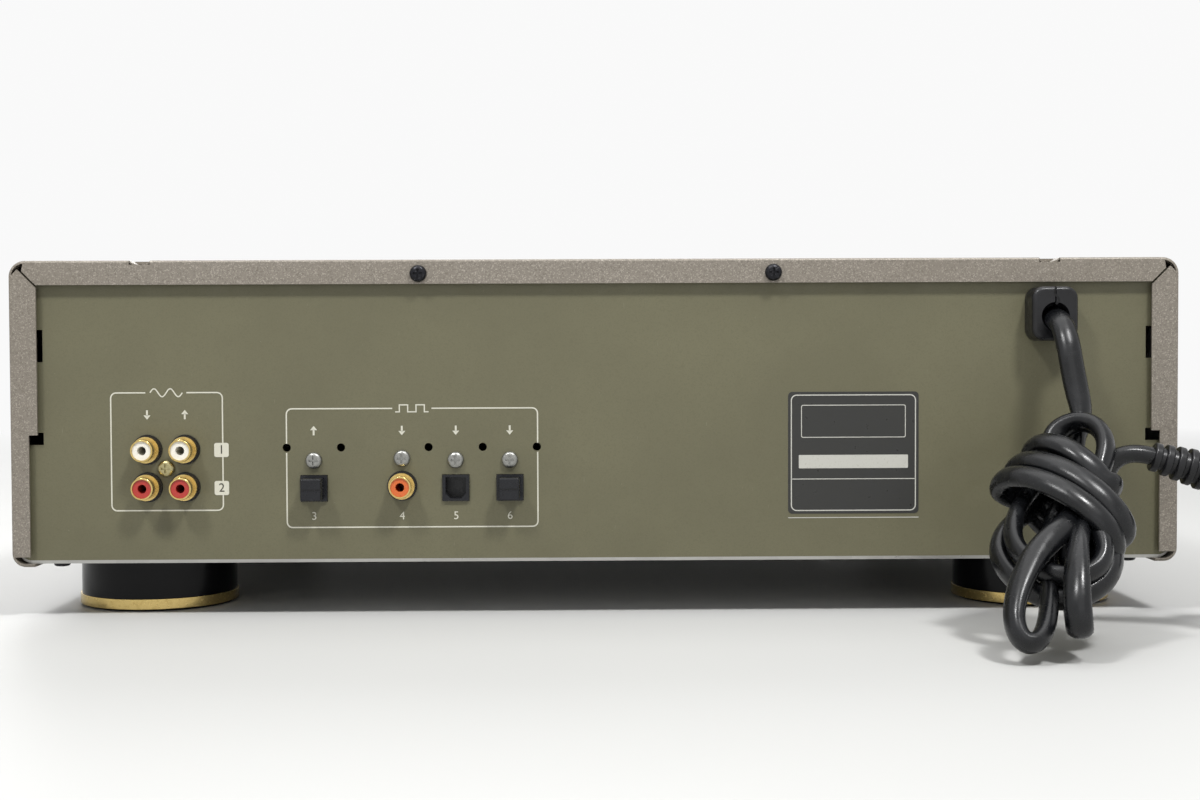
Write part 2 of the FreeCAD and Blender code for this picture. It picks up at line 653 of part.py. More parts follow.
def rear_panel():
    """The painted socket panel, folded in at top and bottom, with raised bosses under the cover's flange."""
    y0 = Y_REAR - REAR_SHEET
    top = Z_TOP - NOTCH_DEPTH - NOTCH_SHEET - SLIDE_GAP
    half = TRAY_HALF - 0.2
    bends = [COVER_CURL_RADIUS] * 2 + [COVER_TOP_RADIUS] * 2
    plate = plate_xz(-half, half, Z_FLOOR, top, y0, Y_REAR, radii=bends)
    inner = half - COVER_TOP_RADIUS
    lower = box(-inner, inner, y0 - REAR_LOWER_FOLD, y0, Z_FLOOR, Z_FLOOR + REAR_SHEET)
    upper = box(-inner, inner, y0 - REAR_UPPER_FOLD, y0, top - REAR_SHEET, top)
    z = Z_TOP - REAR_SCREW_DROP
    bosses = [rod(x, Y_REAR, z, BOSS_RADIUS, FLANGE_STANDOFF, ALONG_Y) for x in (-REAR_SCREW_X, REAR_SCREW_X)]
    panel = join([plate, lower, upper] + bosses)
    holes = []
    for x in (-REAR_SCREW_X, REAR_SCREW_X):
        holes.append(rod(x, y0 - 1, Z_TOP - REAR_SCREW_DROP, SCREW_HOLE, FLANGE_STANDOFF + 4, ALONG_Y))
    for x, z in jack_places():
        holes.append(rod(x, y0 - 1, z, RCA_RING_RADIUS + 0.1, REAR_SHEET + 2, ALONG_Y))
    for x, z in terminal_screw_places():
        holes.append(rod(x, y0 - 1, z, SCREW_HOLE, REAR_SHEET + 2, ALONG_Y))
    spare = {round(x + side * SPARE_HOLE_OFFSET, 3) for x in OPTICAL_XS for side in (-1, 1)}
    for x in sorted(spare):
        holes.append(rod(x, y0 - 1, Z_BASE + SPARE_HOLE_HEIGHT, SPARE_HOLE_RADIUS, REAR_SHEET + 2, ALONG_Y))
    for x in OPTICAL_XS:
        w, t = OPTICAL_SIDE / 2 + 0.1, OPTICAL_TALL / 2 + 0.1
        z = Z_BASE + OPTICAL_HEIGHT
        holes.append(box(x - w, x + w, y0 - 1, Y_REAR + 1, z - t, z + t))
    for z, tall in ((EDGE_SLOT_HEIGHT, EDGE_SLOT_TALL), (STEP_SLOT_HEIGHT, STEP_SLOT_TALL)):
        low = Z_BASE + z - tall / 2
        slot = box(HALF - EDGE_SLOT_REACH, HALF - EDGE_SLOT_INSET, y0 - 1, Y_REAR + 1, low, low + tall)
        holes += both_sides([slot])
    neck = BUSHING_NECK / 2 + 0.1
    z = Z_BASE + BUSHING_HEIGHT
    x0, x1, rise = BUSHING_X - neck, BUSHING_X + neck, neck + 1
    holes.append(plate_xz(x0, x1, z - rise, z + rise, y0 - 1, Y_REAR + 1, 3.0))
    for x, y in under_screw_places():
        holes.append(rod(x, y, Z_FLOOR - 1, SCREW_HOLE, REAR_SHEET + 2, ALONG_Z))
    return less(panel, holes)


def buttons():
    """name: (centre X, centre Z, width, height, travel)"""
    found = {"power_button": (POWER_X, Z_BASE + POWER_HEIGHT, POWER_WIDTH, POWER_BUTTON_HEIGHT, POWER_TRAVEL)}
    names = ("play_button", "pause_button", "stop_button", "record_button")
    for i, name in enumerate(names):
        x = TRANSPORT_START + i * TRANSPORT_PITCH
        found[name] = (x, Z_SLOT, TRANSPORT_WIDTH, TRANSPORT_HEIGHT, BUTTON_TRAVEL)
    found["eject_button"] = (EJECT_X, Z_SLOT, EJECT_WIDTH, EJECT_HEIGHT, BUTTON_TRAVEL)
    for i in range(5):
        x = (i - 2) * FUNCTION_PITCH
        found[f"function_button_{i + 1}"] = (
            x,
            Z_BASE + FUNCTION_HEIGHT,
            FUNCTION_WIDTH,
            FUNCTION_BUTTON_HEIGHT,
            BUTTON_TRAVEL,
        )
    return found


def knobs():
    """name: (centre X, centre Z, radius, how far it stands out)"""
    level, track, phones = (Z_BASE + h for h in (RECORD_KNOB_HEIGHT, TRACK_KNOB_HEIGHT, PHONES_KNOB_HEIGHT))
    return {
        "record_level_knob": (RECORD_KNOB_X, level, RECORD_KNOB_RADIUS, KNOB_PROUD),
        "track_knob": (TRACK_KNOB_X, track, TRACK_KNOB_RADIUS, TRACK_KNOB_PROUD),
        "phones_level_knob": (PHONES_KNOB_X, phones, PHONES_KNOB_RADIUS, PHONES_KNOB_PROUD),
    }


def button(x, z, width, tall, travel):
    """A cap through the panel, a flange behind it and a plunger towards its switch."""
    w, t = width / 2, tall / 2
    y0, y1 = Y_FACE - BUTTON_PROUD, Y_PANEL + SLIDE_GAP / 2
    cap = plate_xz(x - w, x + w, z - t, z + t, y0, y1, min(w, t) * 0.45)
    rim = edges_where(cap, lambda e: e.BoundBox.YMax < Y_FACE - BUTTON_PROUD + 0.01)
    cap = cap.makeFillet(0.5, rim)
    r = BUTTON_FLANGE_RIM
    y = Y_PANEL + SLIDE_GAP / 2
    flange = box(x - w - r, x + w + r, y, y + BUTTON_FLANGE, z - t - r, z + t + r)
    tip = Y_BOARD - TACT_HEIGHT - travel - SLIDE_GAP / 2
    plunger = rod(x, y, z, PLUNGER_RADIUS, tip - y, ALONG_Y)
    return join([cap, flange, plunger])


def front_panel():
    """The thick metal face plate with its cut-outs."""
    face = plate_xz(-HALF, HALF, Z_BASE - COVER_SHEET, Z_TOP, Y_FACE, Y_PANEL, 2.0)
    rim = edges_where(face, lambda e: e.BoundBox.YMax < Y_FACE + 0.01)
    face = face.makeChamfer(PANEL_CHAMFER, rim)
    g = SLIDE_GAP
    holes = []
    z = Z_BASE + DISPLAY_CENTRE_HEIGHT
    for middle, width, tall in ((z, WINDOW_WIDTH, WINDOW_HEIGHT), (Z_SLOT, BEZEL_WIDTH, BEZEL_HEIGHT)):
        w, t = width / 2, tall / 2
        holes.append(plate_xz(-w, w, middle - t, middle + t, Y_FACE - 1, Y_PANEL + 1, 2.0))
    for x, z, width, tall, travel in buttons().values():
        w, t = width / 2 + g, tall / 2 + g
        holes.append(plate_xz(x - w, x + w, z - t, z + t, Y_FACE - 1, Y_PANEL + 1, min(w, t) * 0.45))
    for x, z, radius, proud in knobs().values():
        holes.append(rod(x, Y_FACE - 1, z, KNOB_SHAFT_RADIUS + 1.0, PANEL_THICKNESS + 2, ALONG_Y))
    neck = PHONES_COLLAR_RADIUS - 1.2
    holes.append(rod(PHONES_X, Y_FACE - 1, Z_BASE + PHONES_KNOB_HEIGHT, neck, PANEL_THICKNESS + 2, ALONG_Y))
    w, t = SLIDER_WIDTH / 2 + SLIDER_TRAVEL + g, SLIDER_TALL / 2 + g
    z = Z_BASE + SLIDER_HEIGHT
    holes.append(plate_xz(SLIDER_X - w, SLIDER_X + w, z - t, z + t, Y_FACE - 1, Y_PANEL + 1, 0.8))
    return less(face, holes)


def front_frame():
    """The moulded frame between the face plate and the chassis: a rim, and a web with windows."""
    half = TRAY_HALF
    low, high = Z_BASE + 0.3, Z_TOP - COVER_SHEET - SLIDE_GAP
    bends = [COVER_CURL_RADIUS] * 2 + [COVER_TOP_RADIUS] * 2
    block = plate_xz(-half, half, low, high, Y_PANEL, Y_WALL, radii=bends)
    w = FRAME_WALL
    y0, y1 = Y_PANEL - 1, Y_WALL + 1
    web = Y_PANEL + FRAME_WEB_START
    holes = []
    for a, b in ((y0, web), (web + FRAME_WEB, y1)):
        holes.append(plate_xz(-half + w, half - w, low + w, high - w, a, b, 3.0))
    z = Z_BASE + DISPLAY_CENTRE_HEIGHT
    w, t = TUBE_WIDTH / 2 + 4, TUBE_HEIGHT / 2 + 2
    holes.append(box(-w, w, y0, y1, z - t, z + t))
    w, t = BEZEL_WIDTH / 2, BEZEL_HEIGHT / 2
    holes.append(box(-w, w, y0, y1, Z_SLOT - t, Z_SLOT + t))
    for x, z, width, tall, travel in buttons().values():
        if travel > FRAME_WEB_START - BUTTON_FLANGE:
            w, t = (side / 2 + BUTTON_FLANGE_RIM + SLIDE_GAP for side in (width, tall))
            holes.append(box(x - w, x + w, y0, y1, z - t, z + t))
        else:
            holes.append(rod(x, y0, z, PLUNGER_RADIUS + 1.0, y1 - y0, ALONG_Y))
    for x, z, radius, proud in knobs().values():
        holes.append(rod(x, y0, z, KNOB_SHAFT_RADIUS + 1.0, y1 - y0, ALONG_Y))
    reach, z = PHONES_BODY_SIDE / 2 + 1.5, Z_BASE + PHONES_KNOB_HEIGHT
    holes.append(box(PHONES_X - reach, PHONES_X + reach, y0, y1, z - reach, z + reach))
    w, t = SLIDER_WIDTH + SLIDER_TRAVEL + 1.0, SLIDER_TALL
    z = Z_BASE + SLIDER_HEIGHT
    holes.append(box(SLIDER_X - w, SLIDER_X + w, y0, y1, z - t, z + t))
    return less(block, holes)


def display_window():
    z = Z_BASE + DISPLAY_CENTRE_HEIGHT
    w, t = WINDOW_WIDTH / 2 - 0.1, WINDOW_HEIGHT / 2 - 0.1
    pane = plate_xz(-w, w, z - t, z + t, Y_FACE - 0.4, Y_PANEL, 1.9)
    w, t = TUBE_WIDTH / 2 + 4, TUBE_HEIGHT / 2 + 2
    return pane.cut(box(-w, w, Y_FACE + WINDOW_THICKNESS, Y_PANEL + 1, z - t, z + t))


def display_tube():
    """The glass display tube, on two stand-offs from the control board."""
    z = Z_BASE + DISPLAY_CENTRE_HEIGHT
    front = Y_FACE + WINDOW_THICKNESS + 1.0
    back = front + TUBE_THICKNESS
    w, t = TUBE_WIDTH / 2, TUBE_HEIGHT / 2
    glass = box(-w, w, front, back, z - t, z + t)
    legs = [box(x - 3, x + 3, back, Y_BOARD, z - t + 2, z + t - 2) for x in (-w + 8, w - 8)]
    return join([glass] + legs)


def door_axis():
    """Y and Z of the flap's hinge."""
    t = DOOR_THICKNESS / 2
    return Y_FACE + BEZEL_FACE + SLIDE_GAP + t, Z_SLOT + SLOT_HEIGHT / 2 + DOOR_OVERLAP - t


def slot_bezel():
    """The gloss surround of the disc slot, a box with cheeks that carry the flap's pins."""
    w, t = BEZEL_WIDTH / 2 - 0.1, BEZEL_HEIGHT / 2 - 0.1
    block = plate_xz(-w, w, Z_SLOT - t, Z_SLOT + t, Y_FACE - 0.8, Y_FACE + BEZEL_DEPTH, 1.9)
    rim = edges_where(block, lambda e: e.BoundBox.YMax < Y_FACE - 0.79)
    block = block.makeFillet(0.6, rim)
    inner = SLOT_WIDTH / 2 + 1.2
    y0, y1 = Y_FACE + BEZEL_FACE, Y_FACE + BEZEL_DEPTH + 1
    s, h = SLOT_WIDTH / 2, SLOT_HEIGHT / 2
    room = box(-inner, inner, y0, y1, Z_SLOT - h - 1.0, Z_SLOT + t - 1.6)
    mouth = plate_xz(-s, s, Z_SLOT - h, Z_SLOT + h, Y_FACE - 2, y0 + 1, 1.0)
    y, z = door_axis()
    pins = rod(-inner - 2.5, y, z, DOOR_PIN_RADIUS + RUN_GAP, 2 * inner + 5, ALONG_X)
    return less(block, [room, mouth, pins])


def slot_door():
    """The spring-loaded flap, with a pin at each end of its upper edge."""
    y, z = door_axis()
    half = SLOT_WIDTH / 2 + 0.8
    t = DOOR_THICKNESS / 2
    leaf = box(-half, half, y - t, y + t, Z_SLOT - SLOT_HEIGHT / 2 - 0.6, z)
    barrel = rod(-half, y, z, t, 2 * half, ALONG_X)
    pin = rod(-half - 2.4, y, z, DOOR_PIN_RADIUS, 2 * half + 4.8, ALONG_X)
    return join([leaf, barrel, pin])


def knob(x, z, radius, proud):
    """A skirted knob and its shaft."""
    y0 = Y_FACE - proud
    cap = rod(x, y0, z, radius, proud - KNOB_GAP, ALONG_Y)
    rim = edges_where(cap, lambda e: e.BoundBox.YMax < y0 + 0.01)
    cap = cap.makeFillet(min(1.2, radius * 0.12), rim)
    groove = rod(x, Y_FACE - KNOB_GAP - 2.6, z, radius + 1, 1.0, ALONG_Y).cut(
        rod(x, Y_FACE - KNOB_GAP - 3.6, z, radius - 0.5, 3.0, ALONG_Y)
    )
    mark = box(x - 0.5, x + 0.5, y0 - 1, y0 + 0.6, z + radius * 0.45, z + radius * 0.88)
    shaft_end = Y_BOARD - CONTROL_DEPTH + SHAFT_SINK
    shaft = rod(x, Y_FACE - KNOB_GAP - 1, z, KNOB_SHAFT_RADIUS, shaft_end - Y_FACE + KNOB_GAP + 1, ALONG_Y)
    return join([less(cap, [groove, mark]), shaft])


def rotary_controls():
    """The potentiometers and the encoder on the control board."""
    found = []
    for x, z, radius, proud in knobs().values():
        half = CONTROL_SIDE / 2
        front = Y_BOARD - CONTROL_DEPTH
        body = box(x - half, x + half, front, Y_BOARD, z - half, z + half)
        found.append(body.cut(rod(x, front - 1, z, KNOB_SHAFT_RADIUS + RUN_GAP, SHAFT_SINK + 1.1, ALONG_Y)))
    return found


def timer_slider():
    """The three-way timer switch's knob, with the slider plate behind the panel."""
    z = Z_BASE + SLIDER_HEIGHT
    w, t = SLIDER_WIDTH / 2, SLIDER_TALL / 2
    y = Y_PANEL + SLIDE_GAP / 2
    nub = plate_xz(SLIDER_X - w, SLIDER_X + w, z - t, z + t, Y_FACE - SLIDER_PROUD, y, 0.6)
    plate = box(SLIDER_X - w - 2.0, SLIDER_X + w + 2.0, y, Y_BOARD - SLIDE_GAP / 2, z - t - 0.6, z + t + 0.6)
    return join([nub, plate])


def headphone_jack():
    """A collar in the panel and a moulded body behind it, bored for a quarter-inch plug."""
    z = Z_BASE + PHONES_KNOB_HEIGHT
    y0 = Y_FACE - PHONES_COLLAR_PROUD
    collar = rod(PHONES_X, y0, z, PHONES_COLLAR_RADIUS, PHONES_COLLAR_PROUD, ALONG_Y)
    rim = edges_where(collar, lambda e: e.BoundBox.YMax < y0 + 0.01)
    collar = collar.makeFillet(0.5, rim)
    neck = rod(PHONES_X, Y_FACE - 0.1, z, PHONES_COLLAR_RADIUS - 1.3, PANEL_THICKNESS + 0.2, ALONG_Y)
    half, end = PHONES_BODY_SIDE / 2, Y_PANEL + PHONES_BODY_DEPTH
    body = box(PHONES_X - half, PHONES_X + half, Y_PANEL, end, z - half, z + half)
    bore = rod(PHONES_X, Y_FACE - 3, z, PHONES_RADIUS, end - Y_FACE + 3 - 2.0, ALONG_Y)
    return join([collar, neck, body]).cut(bore)


def front_board():
    """The control board, cut away round the slot, the headphone socket and the power button."""
    low, high = Z_BASE + 6.0, Z_TOP - 14.0
    half = HALF - CONTROL_BOARD_INSET
    board = box(-half, half, Y_BOARD, Y_BOARD + BOARD_THICKNESS, low, high)
    z = Z_BASE + PHONES_KNOB_HEIGHT
    w, reach = BEZEL_WIDTH / 2 + 1, PHONES_BODY_SIDE / 2 + SLIDE_GAP
    holes = [
        box(-w, w, Y_BOARD - 1, Y_BOARD + 3, Z_SLOT - BEZEL_HEIGHT / 2 - 1, high + 1),
        box(PHONES_X - reach, PHONES_X + reach, Y_BOARD - 1, Y_BOARD + 3, z - reach, z + reach),
    ]
    return less(board, holes)


def board_pillars():
    """Short pillars between the control board and the chassis's front wall."""
    y0 = Y_BOARD + BOARD_THICKNESS
    end = HALF - PILLAR_INSET
    places = (-end, -PILLAR_X, PILLAR_X, end)
    return [rod(x, y0, Z_BASE + PILLAR_HEIGHT, PILLAR_RADIUS, Y_WALL - y0, ALONG_Y) for x in places]


def tact_switches():
    """One switch behind each button, on the control board."""
    half = TACT_SIDE / 2
    found = []
    for x, z, width, tall, travel in buttons().values():
        found.append(box(x - half, x + half, Y_BOARD - TACT_HEIGHT, Y_BOARD, z - half, z + half))
    return found


def phillips_screws():
    """Node name: its screws."""
    cover = []
    for x in (-REAR_SCREW_X, REAR_SCREW_X):
        place = (x, Y_FLANGE + COVER_SHEET, Z_TOP - REAR_SCREW_DROP)
        depth = COVER_SHEET + FLANGE_STANDOFF + REAR_SHEET
        cover.append(pan_screw(place, (0, 1, 0), COVER_SCREW_RADIUS, COVER_SCREW_HEAD, depth))
    for y in SIDE_SCREW_YS:
        for side in (-1, 1):
            place = (side * HALF, y, Z_BASE + SIDE_SCREW_HEIGHT)
            sizes = SIDE_SCREW_RADIUS, COVER_SCREW_HEAD, SIDE_SCREW_LENGTH
            cover.append(pan_screw(place, (side, 0, 0), *sizes))
    chassis, down = [], (0, 0, -1)
    for x, y in under_screw_places() + mech_leg_places():
        chassis.append(pan_screw((x, y, Z_BASE), down, COVER_SCREW_RADIUS, LOW_HEAD, LOW_SCREW_LENGTH))
    for x, y in foot_places():
        seat = FOOT_HEIGHT - FOOT_WALL - FOOT_BOSS_HEIGHT
        length = FOOT_BOSS_HEIGHT + FOOT_WALL + LOW_SCREW_LENGTH
        chassis.append(pan_screw((x, y, seat), down, COVER_SCREW_RADIUS, LOW_HEAD, length))
    terminal = []
    for x, z in terminal_screw_places():
        place = (x, Y_REAR, z)
        terminal.append(pan_screw(place, ALONG_Y, TERMINAL_SCREW_RADIUS, LOW_HEAD, LOW_SCREW_LENGTH))
    return {"cover_screws": cover, "chassis_screws": chassis, "terminal_screws": terminal}


def moulding(x, z, low, high, width, screw):
    """The moulding behind one jack: a block with a ring through the panel, bored for shell and screw."""
    half, y1 = width / 2, Y_REAR - REAR_SHEET
    block = box(x - half, x + half, y1 - RCA_BLOCK_DEPTH, y1, low, high)
    ring = rod(x, y1 - 0.1, z, RCA_RING_RADIUS, REAR_SHEET + RCA_RING_PROUD + 0.1, ALONG_Y)
    holes = [
        rod(screw[0], y1 - SHELL_SINK, screw[1], SCREW_SHANK + PRESS_GAP, SHELL_SINK + 0.1, ALONG_Y),
        rod(x, y1 - SHELL_SINK, z, RCA_SHELL_RADIUS + PRESS_GAP, SHELL_SINK + RCA_PROUD, ALONG_Y),
    ]
    return less(join([block, ring]), holes)


def rca_block():
    """Four mouldings side by side behind the stereo jacks, standing on the main board."""
    base, half = Z_FLOOR + BOARD_HEIGHT + BOARD_THICKNESS, RCA_PITCH / 2
    screw = terminal_screw_places()[-1]
    found = []
    for x, z in rca_places():
        low = z - half if z > screw[1] else base
        found.append(moulding(x, z, low, z + half, RCA_PITCH, screw))
    return found


def coaxial_housing():
    """The single jack's moulding, with an ear for its screw."""
    x, z = jack_places()[-1]
    low, high = Z_FLOOR + BOARD_HEIGHT + BOARD_THICKNESS, Z_BASE + TERMINAL_SCREW_HEIGHT + MOULDING_EAR
    return moulding(x, z, low, high, MOULDING_WIDTH, terminal_screw_places()[len(OPTICAL_XS)])


def jack_shells():
    """The gold-plated outer contact of each jack, stepped where it meets the panel."""
    found = []
    seat = Y_REAR + RCA_RING_PROUD
    for x, z in jack_places():
        length = RCA_PROUD + REAR_SHEET + SHELL_SINK
        tube = rod(x, Y_REAR + RCA_PROUD - length, z, RCA_SHELL_RADIUS, length, ALONG_Y)
        rim = edges_where(tube, lambda e: e.BoundBox.YMin > Y_REAR + RCA_PROUD - 0.01)
        tube = tube.makeFillet(0.3, rim)
        step = rod(x, seat, z, RCA_STEP_RADIUS, RCA_STEP_LENGTH, ALONG_Y)
        bore = rod(x, Y_REAR + RCA_PROUD - length - 1, z, RCA_BORE_RADIUS, length + 2, ALONG_Y)
        found.append(join([tube, step]).cut(bore))
    return found


def jack_insulators():
    """The coloured plastic core of each jack, bored for the plug's pin."""
    found = []
    y0 = Y_REAR - REAR_SHEET - SHELL_SINK
    length = RCA_PROUD + REAR_SHEET + SHELL_SINK - CORE_RECESS
    for x, z in jack_places():
        core = rod(x, y0, z, RCA_BORE_RADIUS - PRESS_GAP, length, ALONG_Y)
        found.append(core.cut(rod(x, y0 + CORE_FLOOR, z, RCA_PIN_RADIUS, length, ALONG_Y)))
    return found


def optical_sockets():
    """Square fibre-optic sockets whose mouths have two cut corners."""
    found = []
    z = Z_BASE + OPTICAL_HEIGHT
    low = Z_FLOOR + BOARD_HEIGHT + BOARD_THICKNESS
    for i, x in enumerate(OPTICAL_XS):
        w, t = OPTICAL_SIDE / 2, OPTICAL_TALL / 2
        nose = plate_xz(x - w, x + w, z - t, z + t, Y_REAR - REAR_SHEET - 0.1, Y_REAR + OPTICAL_PROUD, 0.5)
        y1 = Y_REAR - REAR_SHEET
        body = box(x - w - 0.5, x + w + 0.5, y1 - OPTICAL_DEPTH, y1, low, z + t + OPTICAL_HEAD)
        deep = Y_REAR + OPTICAL_PROUD - OPTICAL_BORE_DEPTH
        mouth = optical_mouth(x, deep, Y_REAR + 5, OPTICAL_BORE, OPTICAL_BORE + 0.4, OPTICAL_KEY)
        height = terminal_screw_places()[i][1]
        screw = rod(x, y1 - SHELL_SINK, height, SCREW_SHANK + PRESS_GAP, SHELL_SINK + 0.1, ALONG_Y)
        found.append(less(join([body, nose]), [mouth, screw]))
    return found


def dust_cap(x):
    """A moulded cap: a grip outside and a keyed plug in the socket's mouth."""
    z = Z_BASE + OPTICAL_HEIGHT
    y0, y1 = Y_REAR + OPTICAL_PROUD + 0.05, Y_REAR + CAP_PROUD
    w, t = CAP_SIDE / 2, CAP_TALL / 2
    grip = plate_xz(x - w, x + w, z - t, z + t, y0, y1, 0.7)
    rim = edges_where(grip, lambda e: e.BoundBox.YMin > y1 - 0.01)
    grip = grip.makeFillet(0.5, rim)
    groove = box(x - w - 1, x + w + 1, y1 - 0.5, y1 + 1, z - 0.35, z + 0.35)
    plug = optical_mouth(x, y0 - CAP_PLUG_LENGTH, y0 + 0.1, CAP_PLUG, CAP_PLUG + 0.4, OPTICAL_KEY)
    return join([less(grip, [groove]), plug])


def feet():
    """Four moulded feet, hollow underneath, each with a boss for its screw."""
    found = []
    low = FOOT_PAD_PROUD
    seat = FOOT_PAD_THICKNESS
    for x, y in foot_places():
        body = rod(x, y, low, FOOT_RADIUS, FOOT_HEIGHT - low, ALONG_Z)
        rim = edges_where(body, lambda e: e.BoundBox.ZMin > FOOT_HEIGHT - 0.01)
        body = body.makeFillet(0.8, rim)
        hollow = rod(x, y, low - 1, FOOT_RADIUS - FOOT_WALL, FOOT_HEIGHT - FOOT_WALL - low + 1, ALONG_Z)
        boss_low = FOOT_HEIGHT - FOOT_WALL - FOOT_BOSS_HEIGHT
        boss = rod(x, y, boss_low, FOOT_BOSS_RADIUS, FOOT_BOSS_HEIGHT + 1, ALONG_Z)
        pocket = rod(x, y, low - 1, FOOT_PAD_RADIUS + 0.1, seat - low + 1, ALONG_Z)
        hole = rod(x, y, low, SCREW_HOLE, FOOT_HEIGHT, ALONG_Z)
        ring_seat = rod(x, y, low - 1, FOOT_RADIUS + 1, FOOT_RING_HEIGHT + 1, ALONG_Z).cut(
            rod(x, y, low - 1, FOOT_RADIUS - FOOT_RING_SEAT, FOOT_RING_HEIGHT + 1, ALONG_Z)
        )
        found.append(less(join([body.cut(hollow), boss]), [pocket, hole, ring_seat]))
    return found


def foot_rings():
    """The bright band round the lower edge of each foot."""
    found = []
    for x, y in foot_places():
        band = rod(x, y, FOOT_PAD_PROUD, FOOT_RING_RADIUS, FOOT_RING_HEIGHT, ALONG_Z)
        rims = edges_where(band, lambda e: e.Length > FOOT_RING_RADIUS * 6)
        band = band.makeFillet(0.15, rims)
        found.append(band.cut(rod(x, y, 0, FOOT_RADIUS - FOOT_RING_SEAT, FOOT_HEIGHT, ALONG_Z)))
    return found


def foot_pads():
    found = []
    for x, y in foot_places():
        pad = rod(x, y, 0, FOOT_PAD_RADIUS, FOOT_PAD_THICKNESS, ALONG_Z)
        found.append(pad.cut(rod(x, y, -1, FOOT_PAD_HOLE, FOOT_PAD_THICKNESS + 2, ALONG_Z)))
    return found


def disc_holder():
    """The sheet-metal sleeve that takes the disc's case, with pins that run in the mechanism's slots."""
    half = DISC_WIDTH / 2 + HOLDER_PLAY
    tall = DISC_THICKNESS / 2 + HOLDER_PLAY
    s = HOLDER_SHEET
    y0, y1 = Y_MECH, Y_MECH + DISC_DEPTH + HOLDER_SLACK
    sleeve = box(-half - s, half + s, y0, y1, Z_SLOT - tall - s, Z_SLOT + tall + s)
    hollow = box(-half, half, y0 - 1, y1 + 1, Z_SLOT - tall, Z_SLOT + tall)
    under = box(-half + HOLDER_LIP, half - HOLDER_LIP, y0 - 1, y1 + 1, Z_SLOT - tall - s - 1, Z_SLOT)
    play = ARM_WIDTH / 2 + ARM_CLEAR
    x0, x1 = PICKUP_START - play, PICKUP_START + PICKUP_TRAVEL + play
    window = box(x0, x1, Y_SPINDLE - LENS_ROOM, y1 + 1, Z_SLOT, Z_SLOT + tall + s + 1)
    hub = rod(0, Y_SPINDLE, Z_SLOT, 9.0, 10.0, ALONG_Z)
    pins = []
    for y in holder_pin_ys():
        pins += both_sides([rod(half + s, y, Z_SLOT, HOLDER_PIN_RADIUS, MECH_WALL + 1.0, ALONG_X)])
    return join([less(sleeve, [hollow, under, window, hub])] + pins)


def holder_pin_ys():
    return Y_MECH + 10.0, Y_MECH + DISC_DEPTH - 8.0


def mech_frame():
    """The mechanism's frame: a plate on four legs, two slotted side walls and the rod and motor brackets."""
    plate_top = Z_SLOT - MECH_PLATE_DROP + MECH_PLATE
    y0, y1 = Y_MECH, Y_MECH + DISC_DEPTH + MECH_OVERHANG
    plate = box(-MECH_HALF_WIDTH, MECH_HALF_WIDTH, y0, y1, plate_top - MECH_PLATE, plate_top)
    legs = []
    for x, y in mech_leg_places():
        half = MECH_LEG / 2
        legs.append(box(x - half, x + half, y - half, y + half, Z_FLOOR, plate_top - MECH_PLATE))
    inside = DISC_WIDTH / 2 + HOLDER_PLAY + HOLDER_SHEET + SLIDE_GAP
    walls, slots = [], []
    half = HOLDER_PIN_RADIUS + RUN_GAP * 2
    for pin in holder_pin_ys():
        a, b = pin - MECH_WALL_HALF, pin + MECH_WALL_HALF
        walls += both_sides([box(inside, inside + MECH_WALL, a, b, plate_top - 0.1, Z_SLOT + MECH_WALL_RISE)])
        low, x1 = Z_SLOT - HOLDER_DROP - half, inside + MECH_WALL + 1
        slots += both_sides([box(inside - 1, x1, pin - half, pin + half, low, Z_SLOT + half)])
    brackets = []
    z = Z_SLOT - ROD_DROP
    left, right = rod_ends()
    for y in (Y_SPINDLE - ROD_OFFSET, Y_SPINDLE + ROD_OFFSET):
        for x in (left, right - 2.5):
            brackets.append(box(x, x + 2.5, y - 2.6, y + 2.6, plate_top - 0.1, z + 2.6))
    y = Y_SPINDLE - SCREW_OFFSET
    brackets.append(box(left, left + 2.5, y - 2.4, y + 2.4, plate_top - 0.1, z + 2.6))
    motor_wall = box(right - 1.5, right, y - SLED_MOTOR_RADIUS, y + 2.4, plate_top - 0.1, z + 3.5)
    rod_holes, length = [], right - left + 2
    for side in (-1, 1):
        rod_holes.append(rod(left - 1, Y_SPINDLE + side * ROD_OFFSET, z, ROD_RADIUS, length, ALONG_X))
    screw_hole = rod(left - 1, Y_SPINDLE - SCREW_OFFSET, z, ROD_RADIUS + RUN_GAP, length, ALONG_X)
    spindle = rod(0, Y_SPINDLE, plate_top - 3, 4.0, 5.0, ALONG_Z)
    far = PICKUP_START + PICKUP_TRAVEL + 14
    y0, y1 = Y_SPINDLE - LENS_ROOM, Y_SPINDLE + LENS_ROOM
    lens_room = box(PICKUP_START - 6, far, y0, y1, plate_top - 3, plate_top + 1)
    body = join([plate, motor_wall] + legs + walls + brackets)
    for x, y in mech_leg_places():
        slots.append(rod(x, y, Z_FLOOR - 1, SCREW_SHANK + 0.02, 5.0, ALONG_Z))
    return less(body, slots + rod_holes + [screw_hole, spindle, lens_room])


def rod_ends():
    """X of the guide rods' two ends."""
    near = PICKUP_START - PICKUP_FRONT
    return near - 3.0, near + PICKUP_TRAVEL + PICKUP_LENGTH + 5.0


def guide_rods():
    left, right = rod_ends()
    z, radius = Z_SLOT - ROD_DROP, ROD_RADIUS - 0.01
    ys = (Y_SPINDLE - ROD_OFFSET, Y_SPINDLE + ROD_OFFSET)
    return [rod(left, y, z, radius, right - left, ALONG_X) for y in ys]


def lead_screw():
    left, right = rod_ends()
    length = right - left - SLIDE_GAP + LEAD_SCREW_RUN
    return rod(left + SLIDE_GAP, Y_SPINDLE - SCREW_OFFSET, Z_SLOT - ROD_DROP, ROD_RADIUS, length, ALONG_X)


